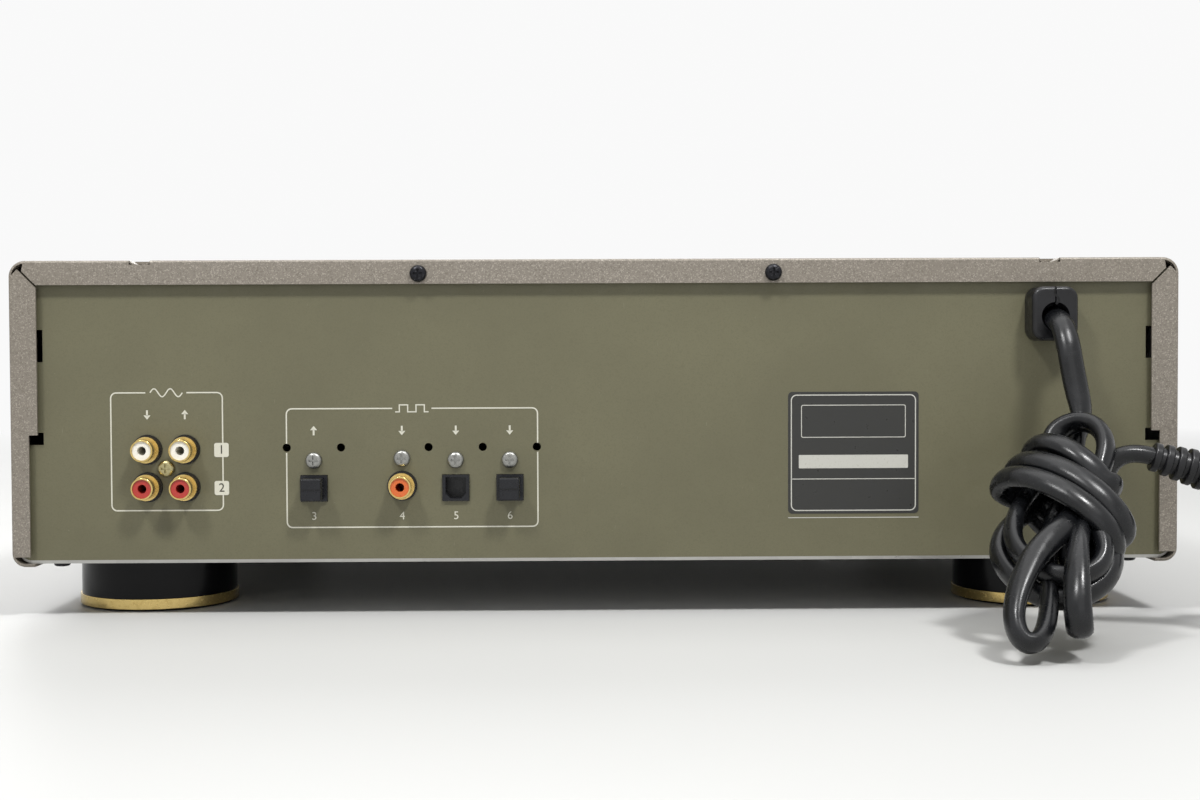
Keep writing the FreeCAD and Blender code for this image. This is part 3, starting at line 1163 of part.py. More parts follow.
def sled_motor():
    left, right = rod_ends()
    z = Z_SLOT - ROD_DROP
    y = Y_SPINDLE - SCREW_OFFSET
    can = rod(right, y, z, SLED_MOTOR_RADIUS, SLED_MOTOR_LENGTH, ALONG_X)
    plate_top = Z_SLOT - MECH_PLATE_DROP + MECH_PLATE
    flat = box(right - 1, right + SLED_MOTOR_LENGTH + 1, y - 10, y + 10, z - 10, plate_top)
    return less(can, [flat, rod(right - 1, y, z, ROD_RADIUS + RUN_GAP, 6.0, ALONG_X)])


def spindle_motor():
    base = Z_SLOT - MECH_PLATE_DROP + MECH_PLATE
    can = rod(0, Y_SPINDLE, base, SPINDLE_MOTOR_RADIUS, SPINDLE_MOTOR_HEIGHT, ALONG_Z)
    return can.cut(rod(0, Y_SPINDLE, base + 1.0, 1.0 + RUN_GAP, 10.0, ALONG_Z))


def turntable():
    """The disc's turntable, with its nose and the shaft that runs in the motor."""
    top = Z_SLOT - TURNTABLE_TOP_DROP
    motor_top = Z_SLOT - MECH_PLATE_DROP + MECH_PLATE + SPINDLE_MOTOR_HEIGHT
    low = motor_top + 0.3
    table = rod(0, Y_SPINDLE, low, TURNTABLE_RADIUS, 2.0, ALONG_Z)
    nose = rod(0, Y_SPINDLE, low, 5.3, top - low - 1.0, ALONG_Z)
    tip = Part.makeCone(5.3, 4.3, 1.0, V(0, Y_SPINDLE, top - 1.0))
    shaft_low = motor_top - SPINDLE_MOTOR_HEIGHT + 1.1
    shaft = rod(0, Y_SPINDLE, shaft_low, 1.0, low - shaft_low + 0.1, ALONG_Z)
    return join([table, nose, tip, shaft])


def optical_pickup():
    """The laser pickup: a sled on two rods, its lens, and the bracket for the magnetic head's arm."""
    x0 = PICKUP_START - PICKUP_FRONT
    x1 = x0 + PICKUP_LENGTH
    top = Z_SLOT - PICKUP_TOP_DROP
    z = Z_SLOT - ROD_DROP
    sled = box(x0, x1, Y_SPINDLE - PICKUP_HALF_DEPTH, Y_SPINDLE + PICKUP_HALF_DEPTH, top - PICKUP_HEIGHT, top)
    lens = rod(PICKUP_START, Y_SPINDLE, top - 0.1, 2.5, 0.9, ALONG_Z)
    lugs = []
    for side in (-1, 1):
        near, far = sorted((Y_SPINDLE + side * 9, Y_SPINDLE + side * (ROD_OFFSET + 2.3)))
        lugs.append(box(x0 + 1, x1 - 1, near, far, z - 2.4, z + 2.4))
    nut = box(x0 + 4, x1 - 4, Y_SPINDLE - SCREW_OFFSET - 2.2, Y_SPINDLE - ROD_OFFSET - 2.2, z - 2.4, z + 2.4)
    low = z - ROD_RADIUS - 0.9
    half = ARM_WIDTH / 2
    pivot_y, pivot_z = Y_SPINDLE + ARM_PIVOT_BEHIND, Z_SLOT + ARM_PIVOT_RISE
    tongue = box(PICKUP_START - half, PICKUP_START + half, Y_SPINDLE, pivot_y + 2.0, low, low + 0.8)
    post = box(PICKUP_START - half, PICKUP_START + half, pivot_y - 1.0, pivot_y + 2.0, low, pivot_z - 3.0)
    ears = []
    for x in (PICKUP_START - half, PICKUP_START + half - 1.5):
        ears.append(box(x, x + 1.5, pivot_y - 1.0, pivot_y + 2.0, pivot_z - 3.1, pivot_z + 2.0))
    sides = ROD_RADIUS + RUN_GAP
    ys = (Y_SPINDLE - ROD_OFFSET, Y_SPINDLE + ROD_OFFSET, Y_SPINDLE - SCREW_OFFSET)
    holes = [rod(x0 - 5, y, z, sides, PICKUP_LENGTH + 10, ALONG_X) for y in ys]
    pin = ARM_PIN_RADIUS + RUN_GAP
    holes.append(rod(PICKUP_START - half - 1, pivot_y, pivot_z, pin, ARM_WIDTH + 2, ALONG_X))
    return less(join([sled, lens, nut, tongue, post] + lugs + ears), holes)


def head_arm():
    """The magnetic head's arm, hinged at the rear of the pickup's bracket and reaching over the disc."""
    half = ARM_WIDTH / 2
    y, z = Y_SPINDLE + ARM_PIVOT_BEHIND, Z_SLOT + ARM_PIVOT_RISE
    inner = half - 1.5 - SLIDE_GAP / 2
    hub = rod(PICKUP_START - inner, y, z, 1.9, 2 * inner, ALONG_X)
    pin = rod(PICKUP_START - half + 0.1, y, z, ARM_PIN_RADIUS, 2 * half - 0.2, ALONG_X)
    t = ARM_THICKNESS / 2
    blade = box(PICKUP_START - inner, PICKUP_START + inner, Y_SPINDLE - 3.0, y, z - t, z + t)
    head = box(PICKUP_START - 2.0, PICKUP_START + 2.0, Y_SPINDLE - 3.0, Y_SPINDLE + 3.0, z - t - 1.2, z)
    return join([hub, pin, blade, head])


def loading_motor():
    """The sealed geared motor that lowers the holder, bolted beside the mechanism's plate."""
    plate_top = Z_SLOT - MECH_PLATE_DROP + MECH_PLATE
    x = -MECH_HALF_WIDTH + 7.0
    y0 = Y_SPINDLE - 12.0
    gearbox = box(x - 6.5, x + 3.0, y0 - 9.0, y0, plate_top, plate_top + 12.0)
    can = rod(x - 1.0, y0 - 0.1, plate_top + 5.5, 5.4, 20.0, ALONG_Y)
    return join([gearbox, can])


def main_board():
    rear = Y_REAR - REAR_SHEET - SLIDE_GAP
    z = Z_FLOOR + BOARD_HEIGHT
    board = box(BOARD_LEFT, BOARD_RIGHT, rear - BOARD_LENGTH, rear - BOARD_NOTCH, z, z + BOARD_THICKNESS)
    edge = OPTICAL_IN_X - BOARD_NOTCH
    tongue = box(edge, BOARD_RIGHT, rear - BOARD_NOTCH - 1, rear, z, z + BOARD_THICKNESS)
    return join([board, tongue])


def board_parts():
    """Capacitors, chips, connectors and the finned heat sink on the main board."""
    base = Z_FLOOR + BOARD_HEIGHT + BOARD_THICKNESS
    rear = Y_REAR - REAR_SHEET - SLIDE_GAP
    found = []
    row = rear - CAPACITOR_ROW
    for i in range(CAPACITOR_COUNT):
        x = BOARD_LEFT + CAPACITOR_RADIUS * 2 + CAPACITOR_PITCH * i
        found.append(rod(x, row, base, CAPACITOR_RADIUS, CAPACITOR_HEIGHT, ALONG_Z))
    for i in range(3):
        for j in range(2):
            x, y = BOARD_RIGHT - CHIP_SIDE_INSET - CHIP_PITCH * i, rear - CHIP_ROW - CHIP_ROW_PITCH * j
            found.append(block_on(x, y, base, CHIP_SIDE, CHIP_SIDE, CHIP_HEIGHT))
    for i in range(SMALL_CAPACITOR_COUNT):
        x = RCA_X + RCA_PITCH - SMALL_CAPACITOR_PITCH * i
        found.append(rod(x, row, base, SMALL_CAPACITOR_RADIUS, SMALL_CAPACITOR_HEIGHT, ALONG_Z))
    x, y = BOARD_LEFT + HEAT_SINK_INSET, rear - HEAT_SINK_ROW
    fins = [block_on(x, y, base, HEAT_SINK_WIDTH, HEAT_SINK_PLATE, HEAT_SINK_HEIGHT)]
    count = int((HEAT_SINK_WIDTH - HEAT_SINK_FIN) / HEAT_SINK_PITCH) + 1
    for i in range(count):
        fx, fy = x + (i - (count - 1) / 2) * HEAT_SINK_PITCH, y + HEAT_SINK_REACH / 2
        fins.append(block_on(fx, fy, base, HEAT_SINK_FIN, HEAT_SINK_REACH, HEAT_SINK_HEIGHT))
    found.append(join(fins))
    for i in range(2):
        x, y = BOARD_RIGHT - CONNECTOR_INSET - CONNECTOR_PITCH * i, rear - BOARD_LENGTH + CONNECTOR_SIDE * 1.5
        found.append(block_on(x, y, base, CONNECTOR_WIDTH, CONNECTOR_SIDE, CONNECTOR_SIDE))
    return found


def block_on(x, y, z, width, depth, tall):
    """A block that stands on a level, about a middle."""
    return box(x - width / 2, x + width / 2, y - depth / 2, y + depth / 2, z, z + tall)


def power_transformer():
    """A laminated core with a wound bobbin through it, on two feet."""
    w, d, h = TRANSFORMER_WIDTH / 2, TRANSFORMER_DEPTH / 2, TRANSFORMER_HEIGHT
    x, y, z = TRANSFORMER_X, TRANSFORMER_Y, Z_FLOOR
    core_d = d * 0.5
    core = box(x - w, x + w, y - core_d, y + core_d, z + STRAP_THICKNESS, z + h)
    coil = plate_xy(x - w * 0.72, x + w * 0.72, y - d, y + d, z + 9.0, z + h - 6.0, 5.0)
    reach = w + STRAP_REACH
    strap = box(x - reach, x + reach, y - core_d, y + core_d, z, z + STRAP_THICKNESS)
    return join([core, coil, strap])


def cord_bushing():
    """The moulded strain relief, snapped into the rear panel round the cord."""
    z = Z_BASE + BUSHING_HEIGHT
    w, t = BUSHING_WIDTH / 2, BUSHING_TALL / 2
    face = plate_xz(BUSHING_X - w, BUSHING_X + w, z - t, z + t, Y_REAR, Y_REAR + BUSHING_PROUD, BUSHING_ROUND)
    rim = edges_where(face, lambda e: e.BoundBox.YMin > Y_REAR + BUSHING_PROUD - 0.01)
    face = face.makeFillet(1.6, rim)
    n = BUSHING_NECK / 2
    inside = Y_REAR - REAR_SHEET
    x0, x1 = BUSHING_X - n, BUSHING_X + n
    neck = plate_xz(x0, x1, z - n - 1, z + n + 1, inside - NECK_REACH, Y_REAR + 0.1, 2.9)
    barbs = []
    for side in (-1, 1):
        a, b = sorted((BUSHING_X + side * n, BUSHING_X + side * (n + BARB_REACH)))
        barb = box(a - 0.01, b + 0.01, inside - BARB_LENGTH, inside - 0.1, z - BARB_HALF, z + BARB_HALF)
        barbs.append(barb)
    zc = z - CORD_EXIT_DROP
    hole = rod(BUSHING_X, Y_REAR - 30, zc, CORD_RADIUS + 0.4, 60, ALONG_Y)
    mouth = V(BUSHING_X, Y_REAR + BUSHING_PROUD - 3.99, zc)
    flare = Part.makeCone(CORD_RADIUS + 0.4, CORD_RADIUS + 1.8, 4.0, mouth, V(*ALONG_Y))
    s = BUSHING_SLIT / 2
    slit = box(BUSHING_X - s, BUSHING_X + s, Y_REAR + 3.0, Y_REAR + BUSHING_PROUD + 1, zc, z + t + 1)
    return less(join([face, neck] + barbs), [hole, flare, slit])


def tube(points, radius):
    """A round tube along straight runs joined by arcs as large as the runs allow. Prints the arcs' radii."""
    pts = [V(*p) for p in points]
    edges, radii, last = [], [], pts[0]
    for before, corner, after in zip(pts, pts[1:], pts[2:]):
        into, out = corner - before, after - corner
        turn = into.getAngle(out)
        short = min(into.Length, out.Length)
        arc = 0.45 * short / math.tan(turn / 2)
        radii.append(round(arc, 1))
        into.normalize()
        out.normalize()
        start, end = corner - into * (0.45 * short), corner + out * (0.45 * short)
        bisector = (out - into).normalize()
        middle = corner + bisector * (arc / math.cos(turn / 2) - arc)
        edges.append(Part.makeLine(last, start))
        edges.append(Part.Arc(start, middle, end).toShape())
        last = end
    edges.append(Part.makeLine(last, pts[-1]))
    path = Part.Wire(edges)
    ahead = (pts[1] - pts[0]).normalize()
    section = Part.Wire(Part.makeCircle(radius, pts[0], ahead))
    solid = path.makePipeShell([section], True, False)
    exact = math.pi * radius**2 * path.Length
    share = round(solid.Volume / exact, 4)
    print("cord radii", radii, "length", round(path.Length, 1), "volume share", share)
    return solid


# The hank leans from the floor towards the rear panel. Its outline, from the top down: distance along it,
# half width, half depth and shift across.
CORD_EXIT = (BUSHING_X, Y_REAR + 1.0, Z_BASE + BUSHING_HEIGHT - CORD_EXIT_DROP)
HANK_TOP = V(BUSHING_X - 5.3, Y_REAR + 29.0, 78.0)
HANK_FOOT = V(BUSHING_X + 22.7, Y_REAR + 107.0, 9.5)
HANK_SECTIONS = [
    (0.0, 8.0, 5.0, 0.0),
    (9.0, 11.5, 8.0, 0.0),
    (24.0, 17.0, 13.0, -2.5),
    (44.0, 24.5, 17.0, -4.5),
    (60.0, 24.5, 16.5, -5.5),
    (77.0, 21.0, 13.5, -6.5),
    (94.0, 16.5, 10.5, -8.0),
    (108.0, 10.0, 5.5, -11.0),
]
LEAD_ROUTE = [
    CORD_EXIT,
    (CORD_EXIT[0], Y_REAR + 15.0, CORD_EXIT[2] - 0.5),
    (CORD_EXIT[0] - 0.8, Y_REAR + 23.0, CORD_EXIT[2] - 8.5),
    (CORD_EXIT[0] - 2.0, Y_REAR + 26.5, CORD_EXIT[2] - 22.0),
    (CORD_EXIT[0] - 4.5, Y_REAR + 31.0, CORD_EXIT[2] - 38.0),
]
PLUG_START = V(BUSHING_X - 22.8, Y_REAR + 48.0, 61.7)
PLUG_AXIS = V(-0.955, 0.10, -0.275).normalize()
TAIL_ROUTE = [
    (BUSHING_X - 0.8, Y_REAR + 46.5, 47.0),
    tuple(PLUG_START - PLUG_AXIS * 11.0),
    tuple(PLUG_START),
]


def cord_hank():
    """The outer shape of the tied-up cord, an oval body lofted along the hank."""
    down = (HANK_FOOT - HANK_TOP).normalize()
    across = V(0, 0, 1).cross(down).normalize()
    wires = []
    for u, half_width, half_depth, shift in HANK_SECTIONS:
        centre = HANK_TOP + down * u + across * shift
        wide = centre + across * half_width
        deep = centre + across.cross(down) * half_depth
        wires.append(Part.Wire(Part.Ellipse(wide, deep, centre).toShape()))
    return Part.makeLoft(wires, True)


def along_plug(shape):
    """Moves a shape built upwards from the origin onto the plug's axis, its wide side level."""
    level = V(0, 0, 1).cross(PLUG_AXIS).normalize()
    turn = FreeCAD.Rotation(level, PLUG_AXIS.cross(level), PLUG_AXIS, "ZXY")
    return shape.transformGeometry(FreeCAD.Placement(PLUG_START, turn).toMatrix())


def plug_body():
    """The moulded plug with its ribbed boot."""
    step = BOOT_LENGTH / BOOT_RIBS
    small, large = BOOT_RADII
    pieces = [Part.makeCone(small - RIB_DEPTH, large - RIB_DEPTH, BOOT_LENGTH)]
    for i in range(BOOT_RIBS):
        radius = small + (large - small) * (i + 1) / BOOT_RIBS
        rib = Part.makeCylinder(radius, step * RIB_SHARE, V(0, 0, i * step))
        pieces.append(rib.makeFillet(RIB_ROUND, edges_where(rib, lambda e: e.Length > 6 * small)))
    w, t = PLUG_WIDTH / 2, PLUG_TALL / 2
    grip = box(-w, w, -t, t, BOOT_LENGTH - 1.0, BOOT_LENGTH + PLUG_LENGTH)
    grip = grip.makeFillet(PLUG_ROUND, edges_where(grip, lambda e: e.Length > PLUG_LENGTH - 1))
    pieces.append(grip)
    return along_plug(join(pieces))


def plug_blades():
    found = []
    for x in (-BLADE_SPACING / 2, BLADE_SPACING / 2):
        t, w = BLADE_THICKNESS / 2, BLADE_WIDTH / 2
        z = BOOT_LENGTH + PLUG_LENGTH
        found.append(along_plug(box(x - t, x + t, -w, w, z, z + BLADE_LENGTH)))
    return found


def make_all():
    os.makedirs("parts", exist_ok=True)
    save("top_cover", top_cover())
    save("bottom_chassis", bottom_chassis())
    save("rear_panel", rear_panel())
    save("front_panel", front_panel())
    save("front_frame", front_frame())
    save("display_window", display_window())
    save("display_tube", display_tube())
    save("slot_bezel", slot_bezel())
    save("slot_door", slot_door())
    for name, sizes in buttons().items():
        save(name, button(*sizes))
    for name, sizes in knobs().items():
        save(name, knob(*sizes))
    save("timer_slider", timer_slider())
    save("headphone_jack", headphone_jack())
    save("front_board", [front_board()] + board_pillars())
    save("tact_switches", tact_switches())
    save("rotary_controls", rotary_controls())
    for name, screws in phillips_screws().items():
        save(name, screws)
    save("rca_block", rca_block())
    save("coaxial_housing", coaxial_housing())
    save("jack_shells", jack_shells())
    save("jack_insulators", jack_insulators())
    save("optical_sockets", optical_sockets())
    save("dust_cap_out", dust_cap(OPTICAL_XS[0]))
    save("dust_cap_in", dust_cap(OPTICAL_XS[2]))
    save("feet", feet())
    save("foot_rings", foot_rings())
    save("foot_pads", foot_pads())
    save("disc_holder", disc_holder())
    save("mech_frame", mech_frame())
    save("guide_rods", guide_rods())
    save("lead_screw", lead_screw())
    save("sled_motor", sled_motor())
    save("spindle_motor", spindle_motor())
    save("turntable", turntable())
    save("optical_pickup", optical_pickup())
    save("head_arm", head_arm())
    save("loading_motor", loading_motor())
    save("main_board", main_board())
    save("board_parts", board_parts())
    save("power_transformer", power_transformer())
    save("cord_bushing", cord_bushing())
    save("cord_hank", cord_hank())
    save("cord_lead", tube(LEAD_ROUTE, CORD_RADIUS))
    save("cord_tail", tube(TAIL_ROUTE, CORD_RADIUS))
    save("plug_body", plug_body())
    save("plug_blades", plug_blades())


make_all()
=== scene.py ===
"""Looks of the minidisc deck: painted case, socket panel, tied mains cord, front controls, and the studio."""

import json
import math

import bmesh
import bpy
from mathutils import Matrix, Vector


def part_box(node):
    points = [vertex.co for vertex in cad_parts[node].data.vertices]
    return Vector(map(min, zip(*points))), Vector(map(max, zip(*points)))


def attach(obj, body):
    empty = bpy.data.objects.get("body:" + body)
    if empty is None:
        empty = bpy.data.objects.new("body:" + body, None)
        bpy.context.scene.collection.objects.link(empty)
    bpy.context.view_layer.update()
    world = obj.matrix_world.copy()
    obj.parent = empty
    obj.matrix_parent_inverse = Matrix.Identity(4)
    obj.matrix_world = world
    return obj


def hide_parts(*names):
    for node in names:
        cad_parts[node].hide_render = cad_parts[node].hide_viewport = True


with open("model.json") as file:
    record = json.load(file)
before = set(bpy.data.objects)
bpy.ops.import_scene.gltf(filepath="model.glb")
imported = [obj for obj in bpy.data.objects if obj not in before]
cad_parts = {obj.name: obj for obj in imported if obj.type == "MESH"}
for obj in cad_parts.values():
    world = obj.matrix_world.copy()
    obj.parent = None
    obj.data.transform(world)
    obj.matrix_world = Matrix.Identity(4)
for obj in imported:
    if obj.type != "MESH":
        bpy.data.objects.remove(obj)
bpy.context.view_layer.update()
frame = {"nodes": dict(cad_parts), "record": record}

nodes = frame["nodes"]

MM = 0.001
BUSHING_PROUD = 11.0  # mm that the cord bushing stands out of the socket panel
Y_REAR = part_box("cord_bushing")[1].y - BUSHING_PROUD * MM  # outside of the socket panel
Y_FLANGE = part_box("top_cover")[1].y  # outside of the cover's rear flange
Y_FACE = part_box("front_panel")[0].y  # outside of the face plate
Z_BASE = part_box("bottom_chassis")[0].z  # underside of the chassis
Z_SLOT = (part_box("slot_bezel")[0].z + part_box("slot_bezel")[1].z) / 2


def rear(x, height, out=0.0):
    """A point on the socket panel, in mm: x, the height over the chassis underside, and how far out of it."""
    return Vector((x * MM, Y_REAR + out * MM, Z_BASE + height * MM))


def front(x, height, out=0.0):
    """A point on the face plate, in the same measures."""
    return Vector((x * MM, Y_FACE - out * MM, Z_BASE + height * MM))


# Camera. Its place, turn and lens are those that fit the photograph
CAMERA_X = 6.0 * MM
CAMERA_DISTANCE = 614.2 * MM  # from the cover's rear flange
CAMERA_HEIGHT = 78.0 * MM  # over the chassis underside
CAMERA_PITCH = 0.029
CAMERA_YAW = 0.012
CAMERA_ROLL = 0.004
SENSOR = 36.0
FOCAL_PIXELS = 1655
PHOTO_PIXELS = 1200

camera_data = bpy.data.cameras.new("camera")
camera_data.sensor_fit = "HORIZONTAL"
camera_data.sensor_width = SENSOR
camera_data.lens = SENSOR * FOCAL_PIXELS / PHOTO_PIXELS
camera_data.clip_start = 10 * MM
camera = bpy.data.objects.new("camera", camera_data)
camera.location = (CAMERA_X, Y_FLANGE + CAMERA_DISTANCE, Z_BASE + CAMERA_HEIGHT)
camera.rotation_euler = (math.pi / 2 - CAMERA_PITCH, CAMERA_ROLL, math.pi - CAMERA_YAW)
bpy.context.scene.collection.objects.link(camera)
bpy.context.scene.camera = camera


def mesh_object(name, bm, smooth=None):
    """Turns a bmesh into an object. Edges under the angle smooth, in degrees, are shaded smooth."""
    bmesh.ops.recalc_face_normals(bm, faces=bm.faces)
    mesh = bpy.data.meshes.new(name)
    bm.to_mesh(mesh)
    bm.free()
    piece = bpy.data.objects.new(name, mesh)
    bpy.context.scene.collection.objects.link(piece)
    if smooth is not None:
        mesh.shade_smooth()
        mesh.set_sharp_from_angle(angle=math.radians(smooth))
    return piece


# Mains cord. It is an oval two-core lead, tied in a hank that leans from the floor towards the panel
CORD_WIDTH = 8.7 * MM
CORD_THICKNESS = 6.2 * MM
CORD_SIDES = 20  # faces round it
ROUTE_DETAIL = 16  # points read from the smooth route for each of its control points
PATH_STEP = 1.0 * MM
SHORT_END = 0.3  # share of a step under which the path's last piece is left out

BUSHING_X = -168.7
EXIT_HEIGHT = 90.5  # of the cord's middle over the chassis underside
HANK_TOP = Vector((-174.0 * MM, Y_REAR + 29.0 * MM, 78.0 * MM))
HANK_FOOT = Vector((-146.0 * MM, Y_REAR + 107.0 * MM, 9.5 * MM))
DOWN = (HANK_FOOT - HANK_TOP).normalized()
ACROSS = Vector((0, 0, 1)).cross(DOWN).normalized()
OUT = DOWN.cross(ACROSS)


def hank(u, v, w):
    """A point of the hank, in mm: u down from its top, v across to the right as seen, w out of its front."""
    return HANK_TOP + (DOWN * u + ACROSS * v + OUT * w) * MM


lead_points = [
    rear(BUSHING_X, EXIT_HEIGHT, 1.0),
    rear(BUSHING_X, EXIT_HEIGHT - 0.5, 15.0),
    rear(BUSHING_X - 0.8, EXIT_HEIGHT - 8.5, 23.0),
    rear(BUSHING_X - 2.0, EXIT_HEIGHT - 22.0, 26.5),
    rear(BUSHING_X - 4.5, EXIT_HEIGHT - 38.0, 31.0),
]
# The strands of the hank as u, v, w, in the order in which the cord runs through them
HANK_STRANDS = [
    # down behind the knot, round the widest turn and up again
    (11.8, -3.5, -7.0), (21.8, -4.1, -9.0), (32.6, -5.1, -10.5), (43.0, -16.0, -9.0), (55.5, -24.0, -6.0),
    (67.3, -26.0, -5.0), (77.5, -21.5, -5.0), (86.1, -12.0, -5.5), (87.4, -0.6, -6.0), (79.5, 9.5, -6.0),
    (68.6, 12.5, -5.5), (53.1, 10.0, -7.0), (37.0, 4.5, -9.0), (26.0, -1.5, -8.5), (24.5, -9.0, -5.0),
    # the second turn, inside the first
    (38.5, -15.0, -2.0), (55.5, -20.5, 0.5), (68.0, -20.5, 1.0), (77.0, -15.5, 1.0), (83.0, -6.5, 0.5),
    (82.5, 2.5, 0.0), (76.5, 9.0, 0.5), (67.5, 9.0, 2.5), (57.0, 3.0, 4.0), (45.5, -4.0, 4.0),
    # the small loop at the top
    (31.1, -8.5, 0.5), (21.0, -10.5, -1.0), (15.0, -9.5, 1.0), (12.4, -5.4, 3.0), (12.0, 0.0, 4.5),
    (16.0, 5.6, 5.0), (23.5, 8.4, 4.5), (31.5, 7.6, 2.5), (40.0, 4.6, -0.5), (48.5, 1.5, 0.5),
    # the long loop at the left of the foot
    (58.0, -0.5, 4.5), (66.4, -2.8, 7.0), (74.0, -7.6, 8.5), (83.2, -12.8, 8.5), (95.4, -16.6, 6.5),
    (104.4, -17.5, 3.5), (110.4, -15.0, 0.5), (110.8, -10.6, -1.0), (105.0, -8.0, -2.0), (95.0, -7.2, -2.5),
    (84.0, -7.9, -3.5), (72.0, -9.0, -4.0), (57.0, -9.0, -4.0), (44.0, -5.0, -3.0), (34.0, -1.5, -3.0),
    (32.0, 3.5, -2.5), (40.0, 5.5, -2.5),
    # the loop beside it, seen on edge
    (51.0, 3.0, -0.5), (64.0, 1.6, 4.0), (77.0, 1.2, 8.5), (88.0, 1.2, 9.5), (99.5, 2.0, 6.5),
    (104.0, 2.6, 0.5), (100.5, 2.4, -5.0), (91.0, 1.2, -6.5), (79.0, -0.5, -7.5), (64.0, -2.5, -9.0),
    (50.0, -6.0, -11.0), (40.0, -14.0, -10.0),
]
# Each slanting turn round the waist, the lowest first: the u and v of its left end, those of its right end,
# its half depth, and how far its front hangs below its ends
WRAPS = [
    (40.5, -27.5, 67.0, 12.5, 15.0, 3.5),
    (32.0, -22.9, 60.5, 15.5, 13.5, 2.5),
    (23.0, -17.4, 44.0, 9.0, 11.5, 1.0),
]
WRAP_POINTS = 14
WRAP_BACK = 2.2  # how far the turns lie behind the middle of the hank
WRAP_LAG = 0.3  # radians past its right end at which a turn is lowest
LAST_TURN = 0.42  # share of the last turn that is drawn before the cord leaves for the tail


def wraps():
    """Points along all the turns. The change from one turn to the next happens behind the hank."""
    points = []
    for i in range(round((len(WRAPS) - 1 + LAST_TURN) * WRAP_POINTS) + 1):
        along = i / WRAP_POINTS
        low = int(along)
        high = min(low + 1, len(WRAPS) - 1)
        share = max(along - low - 0.5, 0.0) * 2
        share = share * share * (3 - 2 * share)
        u0, v0, u1, v1, deep, hang = [p + (q - p) * share for p, q in zip(WRAPS[low], WRAPS[high])]
        a = 2 * math.pi * along
        u = (u0 + u1) / 2 - (u1 - u0) / 2 * math.cos(a - WRAP_LAG) + hang * math.sin(a)
        v = (v0 + v1) / 2 - (v1 - v0) / 2 * math.cos(a)
        points.append(hank(u, v, deep * math.sin(a) - WRAP_BACK))
    return points


PLUG_START = Vector((-191.5 * MM, Y_REAR + 48.0 * MM, 61.7 * MM))
PLUG_AXIS = Vector((-0.955, 0.10, -0.275)).normalized()
tail_points = [
    hank(41.0, 11.0, 1.5),
    hank(37.5, 10.0, -6.0),
    Vector((-171.5 * MM, Y_REAR + 46.5 * MM, 50.0 * MM)),
    PLUG_START - PLUG_AXIS * 11.0 * MM,
    PLUG_START,
]


def spline_points(points, resolution):
    """Points read from the smooth curve that has these control points, without repeats."""
    curve = bpy.data.curves.new("route", "CURVE")
    curve.dimensions = "3D"
    curve.resolution_u = resolution
    spline = curve.splines.new("NURBS")
    spline.points.add(len(points) - 1)
    for point, place in zip(spline.points, points):
        point.co = (*place, 1.0)
    spline.order_u = 3
    spline.use_endpoint_u = True
    carrier = bpy.data.objects.new("route", curve)
    bpy.context.scene.collection.objects.link(carrier)
    mesh = bpy.data.meshes.new_from_object(carrier)
    found = [v.co.copy() for v in mesh.vertices]
    bpy.data.objects.remove(carrier)
    bpy.data.curves.remove(curve)
    bpy.data.meshes.remove(mesh)
    return [found[0]] + [p for p, before in zip(found[1:], found) if (p - before).length > 0.001 * MM]


def spread_evenly(path, step):
    """The same line with points a step apart."""
    found, left = [path[0]], step
    for a, b in zip(path, path[1:]):
        length = (b - a).length
        at = left
        while at <= length:
            found.append(a.lerp(b, at / length))
            at += step
        left = at - length
    if (found[-1] - path[-1]).length > step * SHORT_END:
        found.append(path[-1])
    return found


BEND_REACH = 5  # points ahead and behind from which a bend is read
SHARPEST_BEND = 0.5  # change of direction from which a bend counts fully
TURN_SHARE = 0.3  # of the way to the wanted turn, at each point of a full bend
TURN_REACH = 6  # points ahead and behind over which the turn is evened out


def carried_normals(tangents):
    """Normals along a line that don't twist round it."""
    normal = tangents[0].orthogonal().normalized()
    found = []
    for t in tangents:
        normal = (normal - t * normal.dot(t)).normalized()
        found.append(normal)
    return found


def bend_angles(tangents, normals):
    """At each point, the angle from the normal to the way the line bends, followed slowly."""
    angle, found = 0.0, []
    for i, t in enumerate(tangents):
        ahead, behind = tangents[min(i + BEND_REACH, len(tangents) - 1)], tangents[max(i - BEND_REACH, 0)]
        bend = ahead - behind
        side = normals[i].cross(t)
        wanted = math.atan2(bend.dot(side), bend.dot(normals[i]))
        turn = (wanted - angle + math.pi / 2) % math.pi - math.pi / 2
        angle += turn * min(bend.length, SHARPEST_BEND) * TURN_SHARE
        found.append(angle)
    return found


def oval_tube(name, path, width, thickness, sides):
    """A tube of oval section whose thin way points into its bends, as a flat cord lies."""
    tangents = [(b - a).normalized() for a, b in zip([path[0]] + path[:-1], path[1:] + [path[-1]])]
    normals = carried_normals(tangents)
    angles = bend_angles(tangents, normals)
    bm = bmesh.new()
    rings = []
    for i, centre in enumerate(path):
        window = angles[max(i - TURN_REACH, 0) : i + TURN_REACH + 1]
        a = sum(window) / len(window)
        side = normals[i].cross(tangents[i])
        thin = normals[i] * math.cos(a) + side * math.sin(a)
        wide = thin.cross(tangents[i])
        ring = []
        for k in range(sides):
            b = 2 * math.pi * k / sides
            reach = thin * math.cos(b) * thickness / 2 + wide * math.sin(b) * width / 2
            ring.append(bm.verts.new(centre + reach))
        rings.append(ring)
    for low, high in zip(rings, rings[1:]):
        for k in range(sides):
            bm.faces.new((low[k], low[(k + 1) % sides], high[(k + 1) % sides], high[k]))
    bm.faces.new(rings[0])
    bm.faces.new(rings[-1])
    return mesh_object(name, bm, smooth=50)


